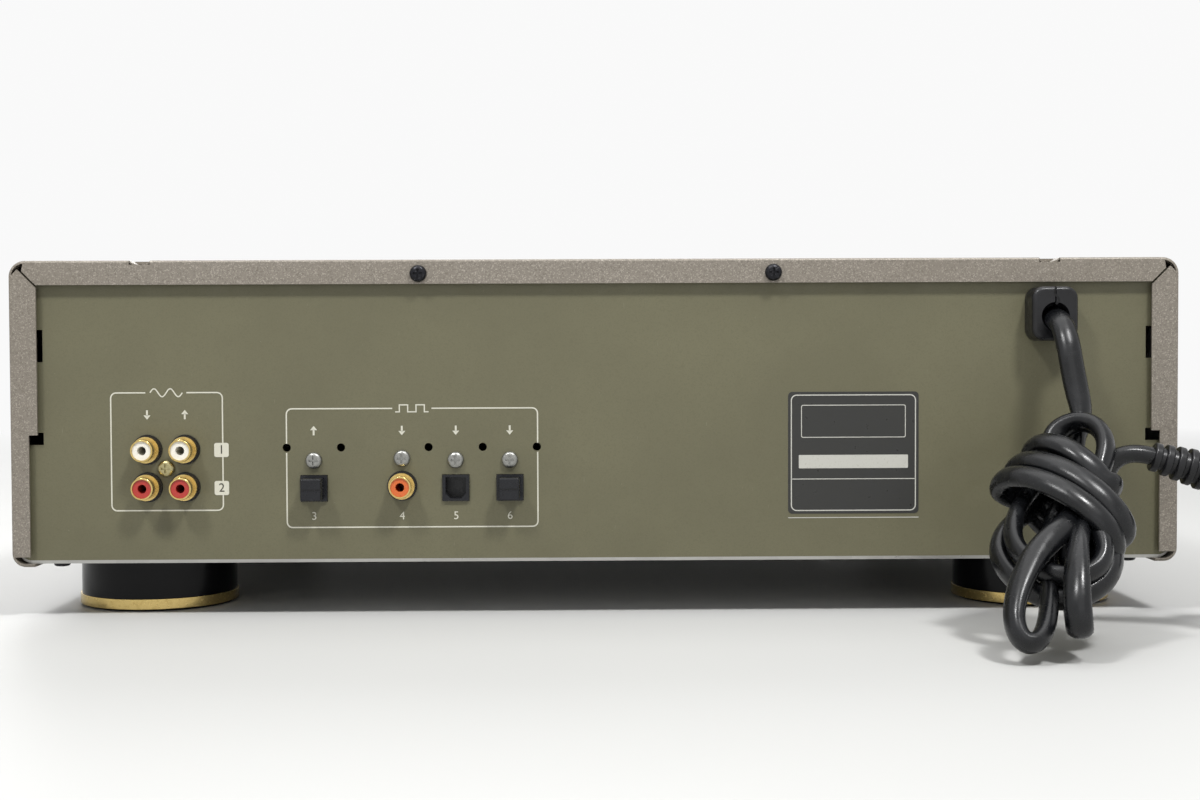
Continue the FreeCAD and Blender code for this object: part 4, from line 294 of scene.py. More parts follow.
cord_route = lead_points + [hank(*strand) for strand in HANK_STRANDS] + wraps() + tail_points
cord_path = spread_evenly(spline_points(cord_route, ROUTE_DETAIL), PATH_STEP)
cord = oval_tube("mains_cord", cord_path, CORD_WIDTH, CORD_THICKNESS, CORD_SIDES)
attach(cord, "case")
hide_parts("cord_lead", "cord_hank", "cord_tail")


NOISE_LOW = 0.3  # most of what a noise node gives lies between these
NOISE_HIGH = 0.7
MIX_FIRST = 6  # colour sockets of the mix node
MIX_SECOND = 7
MIX_RESULT = 2


class Finish:
    """A material, built up from a few kinds of node."""

    def __init__(self, name, base, roughness, metallic=0.0):
        self.material = bpy.data.materials.new(name)
        self.material.use_nodes = True
        self.tree = self.material.node_tree
        self.shader = self.tree.nodes["Principled BSDF"]
        self.shader.inputs["Base Color"].default_value = (*base, 1.0)
        self.shader.inputs["Roughness"].default_value = roughness
        self.shader.inputs["Metallic"].default_value = metallic
        self.place = self.tree.nodes.new("ShaderNodeTexCoord").outputs["Object"]
        self.colour = None
        self.base = base
        self.height = None

    def add(self, kind, **settings):
        node = self.tree.nodes.new("ShaderNode" + kind)
        for key, value in settings.items():
            setattr(node, key, value)
        return node

    def link(self, source, target):
        self.tree.links.new(source, target)

    def noise(self, size, detail=3.0, stretch=(1, 1, 1)):
        """Cloudy noise whose features are about size metres across."""
        mapping = self.add("Mapping")
        mapping.inputs["Scale"].default_value = [1 / (size * s) for s in stretch]
        self.link(self.place, mapping.inputs["Vector"])
        noise = self.add("TexNoise")
        noise.inputs["Scale"].default_value = 1.0
        noise.inputs["Detail"].default_value = detail
        self.link(mapping.outputs["Vector"], noise.inputs["Vector"])
        return noise.outputs["Fac"]

    def cells(self, size):
        """A random value for each small cell."""
        voronoi = self.add("TexVoronoi")
        voronoi.inputs["Scale"].default_value = 1 / size
        self.link(self.place, voronoi.inputs["Vector"])
        parts = self.add("SeparateColor")
        self.link(voronoi.outputs["Color"], parts.inputs["Color"])
        return parts.outputs["Red"]

    def fit(self, source, low, high, to_low=0.0, to_high=1.0):
        ranger = self.add("MapRange")
        ranger.inputs["From Min"].default_value = low
        ranger.inputs["From Max"].default_value = high
        ranger.inputs["To Min"].default_value = to_low
        ranger.inputs["To Max"].default_value = to_high
        self.link(source, ranger.inputs["Value"])
        return ranger.outputs["Result"]

    def tint(self, colour, share):
        """Lays a colour over what is there, where share is high."""
        mix = self.add("Mix", data_type="RGBA")
        self.link(share, mix.inputs["Factor"])
        if self.colour is None:
            mix.inputs[MIX_FIRST].default_value = (*self.base, 1.0)
        else:
            self.link(self.colour, mix.inputs[MIX_FIRST])
        mix.inputs[MIX_SECOND].default_value = (*colour, 1.0)
        self.colour = mix.outputs[MIX_RESULT]
        self.link(self.colour, self.shader.inputs["Base Color"])
        return self

    def rough(self, source, low, high):
        self.link(self.fit(source, NOISE_LOW, NOISE_HIGH, low, high), self.shader.inputs["Roughness"])
        return self

    def bump(self, source, depth, strength=1.0):
        node = self.add("Bump")
        node.inputs["Distance"].default_value = depth
        node.inputs["Strength"].default_value = strength
        self.link(source, node.inputs["Height"])
        if self.height is not None:
            self.link(self.height, node.inputs["Normal"])
        self.height = node.outputs["Normal"]
        self.link(self.height, self.shader.inputs["Normal"])
        return self

    def where(self, axis, over):
        """1 where the object's own coordinate is over a value."""
        parts = self.add("SeparateXYZ")
        self.link(self.place, parts.inputs["Vector"])
        test = self.add("Math", operation="GREATER_THAN")
        test.inputs[1].default_value = over
        self.link(parts.outputs[axis], test.inputs[0])
        return test.outputs["Value"]


def srgb(code):
    """A colour written as six hexadecimal digits, as linear light."""
    parts = [int(code[i : i + 2], 16) / 255 for i in (0, 2, 4)]
    return tuple(c / 12.92 if c <= 0.04045 else ((c + 0.055) / 1.055) ** 2.4 for c in parts)


def cover_paint():
    """Warm grey paint with fine metallic flakes and a faint unevenness."""
    m = Finish("cover_paint", srgb("7E776D"), 0.42, 0.25)
    m.tint(srgb("A8A196"), m.fit(m.cells(0.35 * MM), 0.72, 0.95, 0.0, 0.7))
    m.tint(srgb("5D564D"), m.fit(m.cells(0.5 * MM), 0.7, 0.95, 0.0, 0.5))
    m.tint(srgb("746C60"), m.fit(m.noise(60 * MM, 4), 0.45, 0.75, 0.0, 0.35))
    m.rough(m.noise(0.6 * MM, 2), 0.36, 0.52)
    m.bump(m.noise(0.45 * MM, 2), 0.02 * MM, 0.5)
    return m.material


def panel_paint():
    """Satin olive-brown paint with dust specks and a few rubbed places."""
    m = Finish("panel_paint", srgb("5F5C46"), 0.5, 0.1)
    m.tint(srgb("6A674F"), m.fit(m.noise(45 * MM, 5), 0.4, 0.7, 0.0, 0.5))
    m.tint(srgb("57543F"), m.fit(m.cells(0.4 * MM), 0.6, 0.95, 0.0, 0.4))
    m.tint(srgb("8F8C78"), m.fit(m.noise(0.9 * MM, 5), 0.70, 0.78, 0.0, 0.5))
    m.tint(srgb("A3A08C"), m.fit(m.noise(0.35 * MM, 2, (1, 1, 14)), 0.74, 0.80, 0.0, 0.35))
    m.rough(m.noise(7 * MM, 4), 0.44, 0.58)
    m.bump(m.noise(0.4 * MM, 2), 0.015 * MM, 0.5)
    return m.material


def brushed_metal():
    """Pale gold anodised face plate, brushed from side to side."""
    m = Finish("front_metal", srgb("B9AD92"), 0.34, 0.9)
    lines = m.noise(0.12 * MM, 3, (160, 1, 1))
    m.tint(srgb("CFC4AA"), m.fit(lines, 0.45, 0.75, 0.0, 0.6))
    m.tint(srgb("9C9076"), m.fit(m.noise(0.2 * MM, 2, (90, 1, 1)), 0.5, 0.8, 0.0, 0.4))
    m.rough(lines, 0.27, 0.42)
    m.bump(lines, 0.008 * MM, 0.5)
    return m.material


def sheet_steel(name="bare_steel", shade="A9A8A4"):
    """Plated sheet steel with a soft spangle."""
    m = Finish(name, srgb(shade), 0.34, 0.95)
    m.tint(srgb("8E8D8A"), m.fit(m.cells(6 * MM), 0.3, 0.9, 0.0, 0.25))
    m.rough(m.noise(3 * MM, 4), 0.26, 0.42)
    m.bump(m.noise(0.4 * MM, 2), 0.01 * MM, 0.4)
    return m.material


def turned_steel():
    m = Finish("bright_steel", srgb("C9C8C4"), 0.2, 1.0)
    lines = m.noise(0.1 * MM, 2, (60, 1, 60))
    m.tint(srgb("AFAEAA"), m.fit(lines, 0.4, 0.7, 0.0, 0.4))
    m.rough(lines, 0.14, 0.28)
    return m.material


def screw_nodes(name, base, light, metallic, roughness):
    """Plating that is rubbed brighter in spots, as a driver leaves it."""
    m = Finish(name, srgb(base), roughness, metallic)
    m.tint(srgb(light), m.fit(m.noise(0.9 * MM, 4), 0.58, 0.75, 0.0, 0.6))
    m.rough(m.noise(0.5 * MM, 3), roughness - 0.1, roughness + 0.12)
    m.bump(m.noise(0.3 * MM, 2), 0.01 * MM, 0.6)
    return m


def terminal_screw_finish():
    """Grey plated screws, and a yellower one between the four jacks."""
    m = screw_nodes("bright_screw", "8E8E8A", "C9C9C4", 0.95, 0.32)
    m.tint(srgb("B0A678"), m.fit(m.where("X", DIGITAL_SIDE * MM), 0.0, 1.0, 0.0, 0.85))
    return m.material


def gold_plate():
    m = Finish("gold", srgb("CDB475"), 0.2, 1.0)
    m.tint(srgb("A88F52"), m.fit(m.noise(1.4 * MM, 4), 0.5, 0.75, 0.0, 0.5))
    m.rough(m.noise(0.8 * MM, 3), 0.13, 0.3)
    m.bump(m.noise(0.25 * MM, 2), 0.006 * MM, 0.5)
    return m.material


def moulded(name, shade, roughness, grain=0.3 * MM, dust=0.12):
    """Dark moulded plastic with a fine grain and a little dust."""
    m = Finish(name, srgb(shade), roughness)
    m.shader.inputs["Specular IOR Level"].default_value = 0.35
    m.tint(srgb("4A4A4E"), m.fit(m.noise(0.8 * MM, 5), 0.68, 0.8, 0.0, dust * 2))
    m.tint(srgb("2C2D31"), m.fit(m.noise(9 * MM, 3), 0.45, 0.75, 0.0, dust))
    m.rough(m.noise(2.5 * MM, 4), max(roughness - 0.08, 0.04), roughness + 0.1)
    m.bump(m.noise(grain, 2), 0.012 * MM, 0.5)
    return m.material


def gloss_black():
    m = Finish("gloss_black", srgb("08080A"), 0.12)
    m.shader.inputs["Specular IOR Level"].default_value = 0.16
    m.tint(srgb("2B2B2E"), m.fit(m.noise(0.7 * MM, 5), 0.7, 0.8, 0.0, 0.3))
    m.rough(m.noise(6 * MM, 5), 0.08, 0.22)
    return m.material


def cord_jacket():
    """Soft satin jacket, greyed by handling along its length."""
    m = Finish("cord_jacket", srgb("0C0D0F"), 0.26)
    m.shader.inputs["Specular IOR Level"].default_value = 0.36
    m.tint(srgb("222326"), m.fit(m.noise(14 * MM, 5), 0.45, 0.75, 0.0, 0.5))
    m.tint(srgb("5A5A5B"), m.fit(m.noise(0.7 * MM, 5), 0.66, 0.78, 0.0, 0.4))
    m.rough(m.noise(4 * MM, 5), 0.2, 0.36)
    m.bump(m.noise(0.9 * MM, 4), 0.03 * MM, 0.5)
    return m.material


JACK_ROWS_SPLIT = 35.3  # height between the two rows of jacks
SINGLE_JACK_SIDE = 110.0  # x between the four jacks and the single one
DIGITAL_SIDE = 140.0  # x between the four jacks and the printed box of the digital sockets


def jack_cores():
    """White in the upper row, red in the lower row, and orange in the single jack."""
    m = Finish("jack_core", srgb("A8332B"), 0.4)
    m.tint(srgb("E6E2D6"), m.where("Z", rear(0, JACK_ROWS_SPLIT).z))
    four = m.where("X", SINGLE_JACK_SIDE * MM)
    m.tint(srgb("C9622B"), m.fit(four, 0.0, 1.0, 1.0, 0.0))
    m.tint(srgb("4A3A30"), m.fit(m.noise(0.8 * MM, 4), 0.62, 0.8, 0.0, 0.4))
    m.rough(m.noise(1.5 * MM, 3), 0.32, 0.5)
    m.bump(m.noise(0.3 * MM, 2), 0.01 * MM, 0.5)
    return m.material


def smoked_window():
    m = Finish("smoked_plastic", srgb("16120F"), 0.06)
    m.shader.inputs["Coat Weight"].default_value = 0.6
    m.tint(srgb("2A2420"), m.fit(m.noise(50 * MM, 3), 0.4, 0.7, 0.0, 0.4))
    m.rough(m.noise(5 * MM, 5), 0.04, 0.12)
    return m.material


def tube_glass():
    m = Finish("tube_glass", srgb("3B4646"), 0.08)
    m.tint(srgb("55605F"), m.fit(m.noise(0.5 * MM, 2, (1, 1, 40)), 0.4, 0.7, 0.0, 0.6))
    m.rough(m.noise(3 * MM, 3), 0.05, 0.14)
    return m.material


def circuit_board():
    m = Finish("board", srgb("8C6F3C"), 0.45)
    m.tint(srgb("5E7A44"), m.fit(m.cells(3.5 * MM), 0.55, 0.6, 0.0, 0.5))
    m.tint(srgb("C7B68A"), m.fit(m.cells(1.8 * MM), 0.86, 0.88, 0.0, 0.8))
    m.rough(m.noise(2 * MM, 3), 0.35, 0.55)
    m.bump(m.cells(1.8 * MM), 0.04 * MM, 0.3)
    return m.material


def laminations():
    m = Finish("core_steel", srgb("3A3B3F"), 0.42, 0.6)
    m.tint(srgb("1E1F22"), m.fit(m.noise(0.5 * MM, 1, (1, 1, 120)), 0.5, 0.6, 0.0, 0.8))
    m.rough(m.noise(3 * MM, 3), 0.35, 0.55)
    m.bump(m.noise(0.5 * MM, 1, (1, 1, 120)), 0.05 * MM, 0.4)
    return m.material


def print_ink(name, shade):
    """Screen print, a little broken."""
    m = Finish(name, srgb(shade), 0.5)
    m.tint(srgb("8B8873"), m.fit(m.noise(0.5 * MM, 4), 0.6, 0.75, 0.0, 0.5))
    m.rough(m.noise(1 * MM, 2), 0.42, 0.6)
    return m.material


finishes = {
    "cover_paint": cover_paint(),
    "panel_paint": panel_paint(),
    "front_metal": brushed_metal(),
    "bare_steel": sheet_steel(),
    "bright_steel": turned_steel(),
    "core_steel": laminations(),
    "cast_metal": sheet_steel("cast_metal", "8F8F8D"),
    "black_screw": screw_nodes("black_screw", "1C1C20", "6F6F72", 0.7, 0.34).material,
    "bright_screw": terminal_screw_finish(),
    "gold": gold_plate(),
    "black_plastic": moulded("black_plastic", "0E0F14", 0.26),
    "gloss_black": gloss_black(),
    "jack_core": jack_cores(),
    "smoked_plastic": smoked_window(),
    "tube_glass": tube_glass(),
    "board": circuit_board(),
    "pad_rubber": moulded("pad_rubber", "1C1C1D", 0.8, 0.15 * MM),
    "black_rubber": moulded("black_rubber", "111113", 0.34, 0.5 * MM, 0.2),
    "cord_jacket": cord_jacket(),
}
for part in frame["record"]["subparts"]:
    target = nodes[part["node"]]
    target.data.materials.clear()
    target.data.materials.append(finishes[part["material_slot"]])
cord.data.materials.append(finishes["cord_jacket"])

# Printing. It is a thin film on the panels, drawn with strips and slabs, with heights over the chassis
# underside. A box is its x from and to, its height from and to, its corner radius, and its header gap
INK_OUT = 0.05  # mm out of the panel
INK_THICKNESS = 0.04
LINE = 0.5
WAVE_LINE = 0.45
DIGITAL_BOX = (22.0, 115.5, 13.0, 57.3, 2.0, 61.5, 76.1)
ANALOGUE_BOX = (139.2, 180.6, 19.6, 63.5, 2.0, 152.5, 167.7)
SPARE_HOLE_HEIGHT = 42.6
SPARE_HOLE_REACH = 1.7
SQUARE_WAVE = (75.0, 1.55, 1.3, 9)  # x of its start, step, half height, count of steps
SMOOTH_WAVE = (166.0, 12.0, 1.5, 32)  # x of its start, length, half height, count of steps
ANALOGUE_ARROWS = ((167.2, True), (153.2, False))  # x, and whether it points into the set
ANALOGUE_ARROW_HEIGHT = 55.3
DIGITAL_ARROWS = ((105.4, False), (72.6, True), (52.5, True), (32.4, True))
DIGITAL_ARROW_HEIGHT = 49.1
DIGITAL_NUMBER_HEIGHT = 17.1
ARROW_SHAFT = (1.7, 0.4, 0.7)  # how far it reaches back and ahead of the arrow's middle, and its width
ARROW_HEAD = (1.3, 0.2, 1.8)  # half width, and how far its foot and its tip are ahead of the middle
CHANNEL_X = 139.7
CHANNEL_HEIGHTS = (42.1, 27.9)
CHANNEL_HALF = (2.7, 2.65, 0.8)  # half width and half height of the pale boxes, corner radius
CHANNEL_FIGURE = 4.6
SOCKET_FIGURE = 4.2
CORNER_STEPS = 5  # sides of a rounded corner
pale_ink = print_ink("pale_ink", "C9C7B8")


def strip(bm, points, width, place, out, closed=False):
    """A flat line of a given width along points on a panel, as a thin solid."""
    top = out + INK_THICKNESS
    count = len(points)
    sides = []
    for i, p in enumerate(points):
        before = points[(i - 1) % count] if closed or i else p
        after = points[(i + 1) % count] if closed or i < count - 1 else p
        first = Vector((p[0] - before[0], p[1] - before[1]))
        second = Vector((after[0] - p[0], after[1] - p[1]))
        first = first.normalized() if first.length else second.normalized()
        second = second.normalized() if second.length else first
        along = (first + second).normalized()
        grow = width / 2 / max(along.dot(first), 0.5)
        sides.append(Vector((-along.y, along.x)) * grow)
    rings = []
    for p, s in zip(points, sides):
        ring = []
        for sign, lift in ((1, out), (-1, out), (-1, top), (1, top)):
            ring.append(bm.verts.new(place(p[0] + sign * s.x, p[1] + sign * s.y, lift)))
        rings.append(ring)
    pairs = list(zip(rings, rings[1:]))
    if closed:
        pairs.append((rings[-1], rings[0]))
    for low, high in pairs:
        for k in range(4):
            bm.faces.new((low[k], low[(k + 1) % 4], high[(k + 1) % 4], high[k]))
    if not closed:
        bm.faces.new(rings[0])
        bm.faces.new(rings[-1])


def slab(bm, points, place, out, thickness=INK_THICKNESS):
    """A flat filled shape on a panel, as a thin solid."""
    low = [bm.verts.new(place(x, z, out)) for x, z in points]
    high = [bm.verts.new(place(x, z, out + thickness)) for x, z in points]
    bm.faces.new(low)
    bm.faces.new(high)
    for i in range(len(points)):
        j = (i + 1) % len(points)
        bm.faces.new((low[i], low[j], high[j], high[i]))


def printed(name, bm, finish):
    """Makes one piece on the case out of what was drawn."""
    piece = mesh_object(name, bm)
    piece.data.materials.append(finish)
    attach(piece, "case")


def rounded(x0, x1, z0, z1, radius):
    """Points round a rectangle with rounded corners."""
    found = []
    corners = ((x1 - radius, z1 - radius, 0), (x0 + radius, z1 - radius, 90))
    corners += ((x0 + radius, z0 + radius, 180), (x1 - radius, z0 + radius, 270))
    for x, z, start in corners:
        for i in range(CORNER_STEPS + 1):
            a = math.radians(start + 90 * i / CORNER_STEPS)
            found.append((x + radius * math.cos(a), z + radius * math.sin(a)))
    return found


def open_box(x0, x1, z0, z1, radius, gap0, gap1):
    """The same outline as one open line, with a gap in its upper side."""
    ring = rounded(x0, x1, z0, z1, radius)
    first = CORNER_STEPS + 1
    return [(gap0, z1)] + ring[first:] + ring[:first] + [(gap1, z1)]


def broken_at(points, height):
    """The line in parts, broken where its upright sides pass over a hole at that height."""
    parts = [[points[0]]]
    for (x0, z0), (x1, z1) in zip(points, points[1:]):
        if x0 == x1 and min(z0, z1) < height < max(z0, z1):
            step = math.copysign(SPARE_HOLE_REACH, z1 - z0)
            parts[-1].append((x0, height - step))
            parts.append([(x0, height + step)])
        parts[-1].append((x1, z1))
    return parts


def arrow(bm, x, height, inward):
    """A small arrow, down for into the set and up for out of it."""
    sign = -1 if inward else 1
    back, ahead, width = ARROW_SHAFT
    strip(bm, [(x, height - sign * back), (x, height + sign * ahead)], width, rear, INK_OUT)
    half, foot, tip = ARROW_HEAD
    head = [(x - half, height + sign * foot), (x + half, height + sign * foot), (x, height + sign * tip)]
    slab(bm, head, rear, INK_OUT)


def header_waves(bm):
    """A stepped wave over the digital sockets, and a smooth one over the analogue jacks."""
    start, step, half, count = SQUARE_WAVE
    top = DIGITAL_BOX[3]
    wave = [(start - step * i, top + (half if i % 4 in (1, 2) else -half)) for i in range(count)]
    steps = [(x, z) for (x, _), (_, z) in zip(wave[1:], wave)]
    strip(bm, [p for pair in zip(wave, steps) for p in pair], WAVE_LINE, rear, INK_OUT)
    start, length, half, count = SMOOTH_WAVE
    top = ANALOGUE_BOX[3]
    turns = [i / count for i in range(count + 1)]
    smooth = [(start - length * t, top + half * math.sin(t * 4 * math.pi)) for t in turns]
    strip(bm, smooth, WAVE_LINE, rear, INK_OUT)


def socket_printing():
    """Boxes round the two groups of sockets, with waves, arrows and pale boxes for the two channels."""
    bm = bmesh.new()
    for part in broken_at(open_box(*DIGITAL_BOX), SPARE_HOLE_HEIGHT):
        strip(bm, part, LINE, rear, INK_OUT)
    strip(bm, open_box(*ANALOGUE_BOX), LINE, rear, INK_OUT)
    header_waves(bm)
    for x, inward in ANALOGUE_ARROWS:
        arrow(bm, x, ANALOGUE_ARROW_HEIGHT, inward)
    for x, inward in DIGITAL_ARROWS:
        arrow(bm, x, DIGITAL_ARROW_HEIGHT, inward)
    half_x, half_z, radius = CHANNEL_HALF
    for height in CHANNEL_HEIGHTS:
        outline = rounded(CHANNEL_X - half_x, CHANNEL_X + half_x, height - half_z, height + half_z, radius)
        slab(bm, outline, rear, INK_OUT + INK_THICKNESS)
    printed("socket_printing", bm, pale_ink)


def number(name, text, place, size, ink, facing):
    """A plain number, printed on a panel. facing is 1 on the socket panel and -1 on the face plate."""
    curve = bpy.data.curves.new(name, "FONT")
    curve.body = text
    curve.size = size * MM
    curve.align_x = "CENTER"
    curve.align_y = "CENTER"
    curve.extrude = INK_THICKNESS / 2 * MM
    piece = bpy.data.objects.new(name, curve)
    piece.location = place
    piece.rotation_euler = (math.pi / 2, 0, math.pi if facing > 0 else 0)
    piece.data.materials.append(ink)
    bpy.context.scene.collection.objects.link(piece)
    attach(piece, "case")


def socket_numbers():
    """1 and 2 on the channels' pale boxes, and 3 to 6 under the digital sockets."""
    dark = print_ink("dark_ink", "34332A")
    for i, height in enumerate(CHANNEL_HEIGHTS, 1):
        place = rear(CHANNEL_X, height, INK_OUT + 3 * INK_THICKNESS)
        number(f"box_number_{i}", str(i), place, CHANNEL_FIGURE, dark, 1)
    for i, (x, _) in enumerate(DIGITAL_ARROWS, 1):
        place = rear(x, DIGITAL_NUMBER_HEIGHT, INK_OUT)
        number(f"socket_number_{i}", str(i + 2), place, SOCKET_FIGURE, pale_ink, 1)


socket_printing()
socket_numbers()


SLIT_TOP = 101.3
SLIT_STEP = 0.35
SLIT_POINTS = 19
SLIT_WAVE = 6.3  # length of one wave, which grows downwards
SLIT_GROWTH = 0.25
SLIT_WIDTH = 0.7
SLIT_OUT = 0.01


def bushing_slit():
    """The wavy seam where the halves of the cord bushing meet, from its top to the cord."""
    bm = bmesh.new()
    line = []
    for i in range(SLIT_POINTS):
        down = SLIT_STEP * i
        sway = SLIT_GROWTH * down * math.sin(down / SLIT_WAVE * 2 * math.pi)
        line.append((BUSHING_X + sway, SLIT_TOP - down))
    strip(bm, line, SLIT_WIDTH, rear, BUSHING_PROUD + SLIT_OUT)
    printed("bushing_slit", bm, moulded("seam_shadow", "050506", 0.8))


bushing_slit()


PLATE = (-120.5, -71.6, 17.2, 62.8)  # x from and to, height from and to
PLATE_CORNER = 1.5
PLATE_OUT = 0.02
PLATE_FILM = 0.10  # thickness
PLATE_INK_OUT = 0.13
PLATE_LINE = 0.3
BORDER = (1.2, 2.0, 0.4)  # inset from the plate's edges, corner radius, width of the line
FIELD = (5.0, 17.0, 5.0, 0.6)  # inset from the sides, foot and top under the plate's top, corner radius
RULE_HEIGHT = 13.0  # over the plate's foot
BAND = (4.0, 17.0, 22.0, 0.3)  # inset from the sides, foot and top over the plate's foot, corner radius
UNDERLINE_DROP = 1.5  # under the plate


def rating_plate():
    """A plain dark sticker: rounded border, blank pale band and empty fields."""
    x0, x1, z0, z1 = PLATE
    bm = bmesh.new()
    slab(bm, rounded(x0, x1, z0, z1, PLATE_CORNER), rear, PLATE_OUT, PLATE_FILM)
    printed("rating_plate", bm, moulded("plate_film", "2E2E2C", 0.35, 0.6 * MM))
    out = PLATE_INK_OUT
    bm = bmesh.new()
    edge, corner, width = BORDER
    border = rounded(x0 + edge, x1 - edge, z0 + edge, z1 - edge, corner)
    strip(bm, border, width, rear, out, closed=True)
    side, foot, top, corner = FIELD
    field = rounded(x0 + side, x1 - side, z1 - foot, z1 - top, corner)
    strip(bm, field, PLATE_LINE, rear, out, closed=True)
    rule = [(x0 + edge, z0 + RULE_HEIGHT), (x1 - edge, z0 + RULE_HEIGHT)]
    strip(bm, rule, PLATE_LINE, rear, out)
    side, foot, top, corner = BAND
    slab(bm, rounded(x0 + side, x1 - side, z0 + foot, z0 + top, corner), rear, out)
    underline = [(x0, z0 - UNDERLINE_DROP), (x1, z0 - UNDERLINE_DROP)]
    strip(bm, underline, PLATE_LINE, rear, INK_OUT)
    printed("rating_plate_lines", bm, print_ink("plate_ink", "B9B8B0"))


rating_plate()

# Marks on the front: symbols over the buttons, numbers at the keys, and a scale round two of the knobs
TRANSPORT_XS = [106.0 + 25.0 * i for i in range(4)]
EJECT_X = 66.0
SYMBOL_HEIGHT = (Z_SLOT - Z_BASE) / MM + 9.5
SYMBOL = 1.8  # half its height
LEVEL_KNOB = (181.0, 42.0, 23.0)  # x, height, and radius of its scale
PHONES_KNOB = (-118.0, 22.0, 9.5)
SCALE_MARKS = 11
SCALE_START = 240
SCALE_SWEEP = 300
SCALE_NUMBERS_OUT = 4.0
SCALE_LINE = 0.35
SCALE_REACH = 1.08  # outer end of a mark, as a share of the scale's radius
KEY_COUNT = 5
KEY_STEP = 27.0
KEY_NUMBER_HEIGHT = 23.0
FRONT_FIGURE = 3.0
front_ink = print_ink("front_ink", "2A2620")


def symbols():
    """Outlines of the symbols: play, two bars, square, round, and the eject mark in two parts."""
    play, pause, stop, record = TRANSPORT_XS
    z = SYMBOL_HEIGHT
    low, high = z - SYMBOL, z + SYMBOL
    yield [(play - 1.6, low), (play + 2.0, z), (play - 1.6, high)]
    for left in (pause - 1.3, pause + 0.5):
        yield [(left, low), (left + 0.9, low), (left + 0.9, high), (left, high)]
    yield [(stop - 1.7, z - 1.7), (stop + 1.7, z - 1.7), (stop + 1.7, z + 1.7), (stop - 1.7, z + 1.7)]
    turns = [i / 12 * math.pi for i in range(24)]
    yield [(record + SYMBOL * math.cos(a), z + SYMBOL * math.sin(a)) for a in turns]
    yield [(EJECT_X - 2.0, z - 0.4), (EJECT_X + 2.0, z - 0.4), (EJECT_X, high)]
    yield [(EJECT_X - 2.0, low), (EJECT_X + 2.0, low), (EJECT_X + 2.0, z - 1.0), (EJECT_X - 2.0, z - 1.0)]


def scale_angle(i):
    return math.radians(SCALE_START - SCALE_SWEEP * i / (SCALE_MARKS - 1))


def front_marks():
    bm = bmesh.new()
    for outline in symbols():
        slab(bm, outline, front, INK_OUT)
    for x, height, radius in (LEVEL_KNOB, PHONES_KNOB):
        for i in range(SCALE_MARKS):
            a = scale_angle(i)
            reaches = (radius, radius * SCALE_REACH)
            ends = [(x + r * math.cos(a), height + r * math.sin(a)) for r in reaches]
            strip(bm, ends, SCALE_LINE, front, INK_OUT)
    printed("front_marks", bm, front_ink)
    x, height, radius = LEVEL_KNOB
    radius += SCALE_NUMBERS_OUT
    for i in range(SCALE_MARKS):
        a = scale_angle(i)
        place = front(x + radius * math.cos(a), height + radius * math.sin(a), INK_OUT)
        number(f"level_number_{i}", str(i), place, FRONT_FIGURE, front_ink, -1)
    for i in range(KEY_COUNT):
        place = front((i - (KEY_COUNT - 1) / 2) * KEY_STEP, KEY_NUMBER_HEIGHT, INK_OUT)
        number(f"key_number_{i + 1}", str(i + 1), place, FRONT_FIGURE, front_ink, -1)


front_marks()


# Studio: a plain pale floor that fades into a white surround, and large soft lamps
SURROUND = 0.95  # what camera and mirror rays see
AMBIENT = 0.24  # what lights the part from all round
FLOOR_RADIUS = 4.0
FADE_FROM = 0.55  # metres from the middle
FADE_TO = 1.5
AIM = Vector((0, 0, 0.07))
LAMPS = [  # name, place in metres, side in metres, power in watts
    ("key", (-0.45, 0.9, 1.3), 0.2, 16.0),
    ("fill", (0.6, 0.9, 1.25), 0.2, 11.0),
    ("near", (0.0, 1.8, 0.7), 1.2, 2.0),
    ("top", (0.0, 0.1, 1.6), 1.4, 9.0),
    ("front", (0.3, -1.4, 1.0), 1.2, 14.0),
]


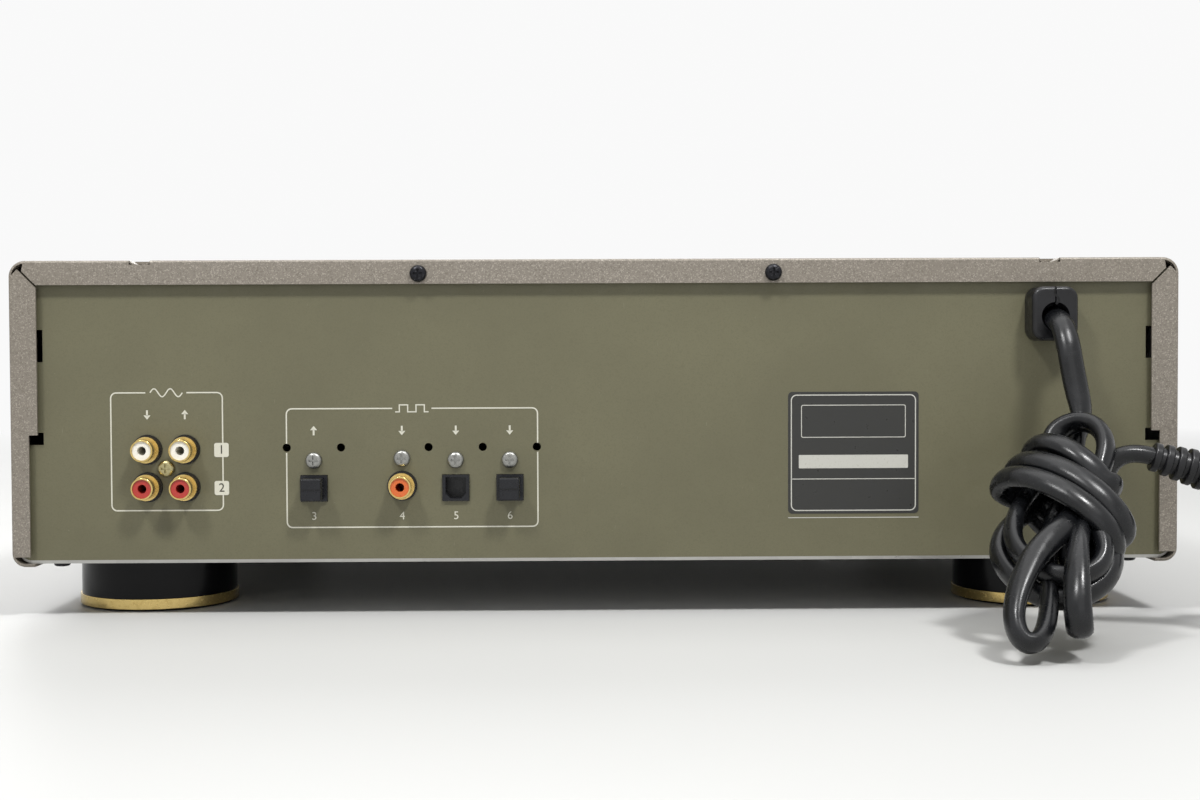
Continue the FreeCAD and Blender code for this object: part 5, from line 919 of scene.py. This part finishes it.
def pale_floor():
    bm = bmesh.new()
    bmesh.ops.create_circle(bm, cap_ends=True, segments=64, radius=FLOOR_RADIUS)
    floor = mesh_object("floor", bm)
    m = Finish("floor_finish", srgb("C6C6C4"), 0.55)
    m.tint(srgb("C0C0BE"), m.fit(m.noise(0.4, 3), 0.4, 0.7, 0.0, 0.5))
    reach = m.add("VectorMath", operation="LENGTH")
    m.link(m.place, reach.inputs[0])
    glow = m.add("Emission")
    glow.inputs["Strength"].default_value = SURROUND
    fade = m.add("MixShader")
    m.link(m.fit(reach.outputs["Value"], FADE_FROM, FADE_TO), fade.inputs["Fac"])
    m.link(m.shader.outputs["BSDF"], fade.inputs[1])
    m.link(glow.outputs["Emission"], fade.inputs[2])
    m.link(fade.outputs["Shader"], m.tree.nodes["Material Output"].inputs["Surface"])
    floor.data.materials.append(m.material)


def surround():
    """A world that looks white to camera, mirror and glass rays, and lights the part dimly."""
    world = bpy.data.worlds.new("studio")
    bpy.context.scene.world = world
    world.use_nodes = True
    tree = world.node_tree
    tree.nodes.clear()
    rays = tree.nodes.new("ShaderNodeLightPath")
    seen = rays.outputs["Is Camera Ray"]
    for name in ("Is Glossy Ray", "Is Transmission Ray"):
        most = tree.nodes.new("ShaderNodeMath")
        most.operation = "MAXIMUM"
        tree.links.new(seen, most.inputs[0])
        tree.links.new(rays.outputs[name], most.inputs[1])
        seen = most.outputs["Value"]
    mix = tree.nodes.new("ShaderNodeMixShader")
    tree.links.new(seen, mix.inputs["Fac"])
    backgrounds = (((0.95, 0.97, 1.0, 1.0), AMBIENT), ((1.0, 1.0, 1.0, 1.0), SURROUND))
    for i, (colour, strength) in enumerate(backgrounds, 1):
        background = tree.nodes.new("ShaderNodeBackground")
        background.inputs["Color"].default_value = colour
        background.inputs["Strength"].default_value = strength
        tree.links.new(background.outputs["Background"], mix.inputs[i])
    out = tree.nodes.new("ShaderNodeOutputWorld")
    tree.links.new(mix.outputs["Shader"], out.inputs["Surface"])


def lamps():
    for name, place, side, power in LAMPS:
        data = bpy.data.lights.new(name, "AREA")
        data.size = side
        data.energy = power
        lamp = bpy.data.objects.new(name, data)
        lamp.location = place
        lamp.rotation_euler = (AIM - Vector(place)).to_track_quat("-Z", "Y").to_euler()
        bpy.context.scene.collection.objects.link(lamp)


pale_floor()
surround()
lamps()
bpy.context.scene.view_settings.view_transform = "Standard"
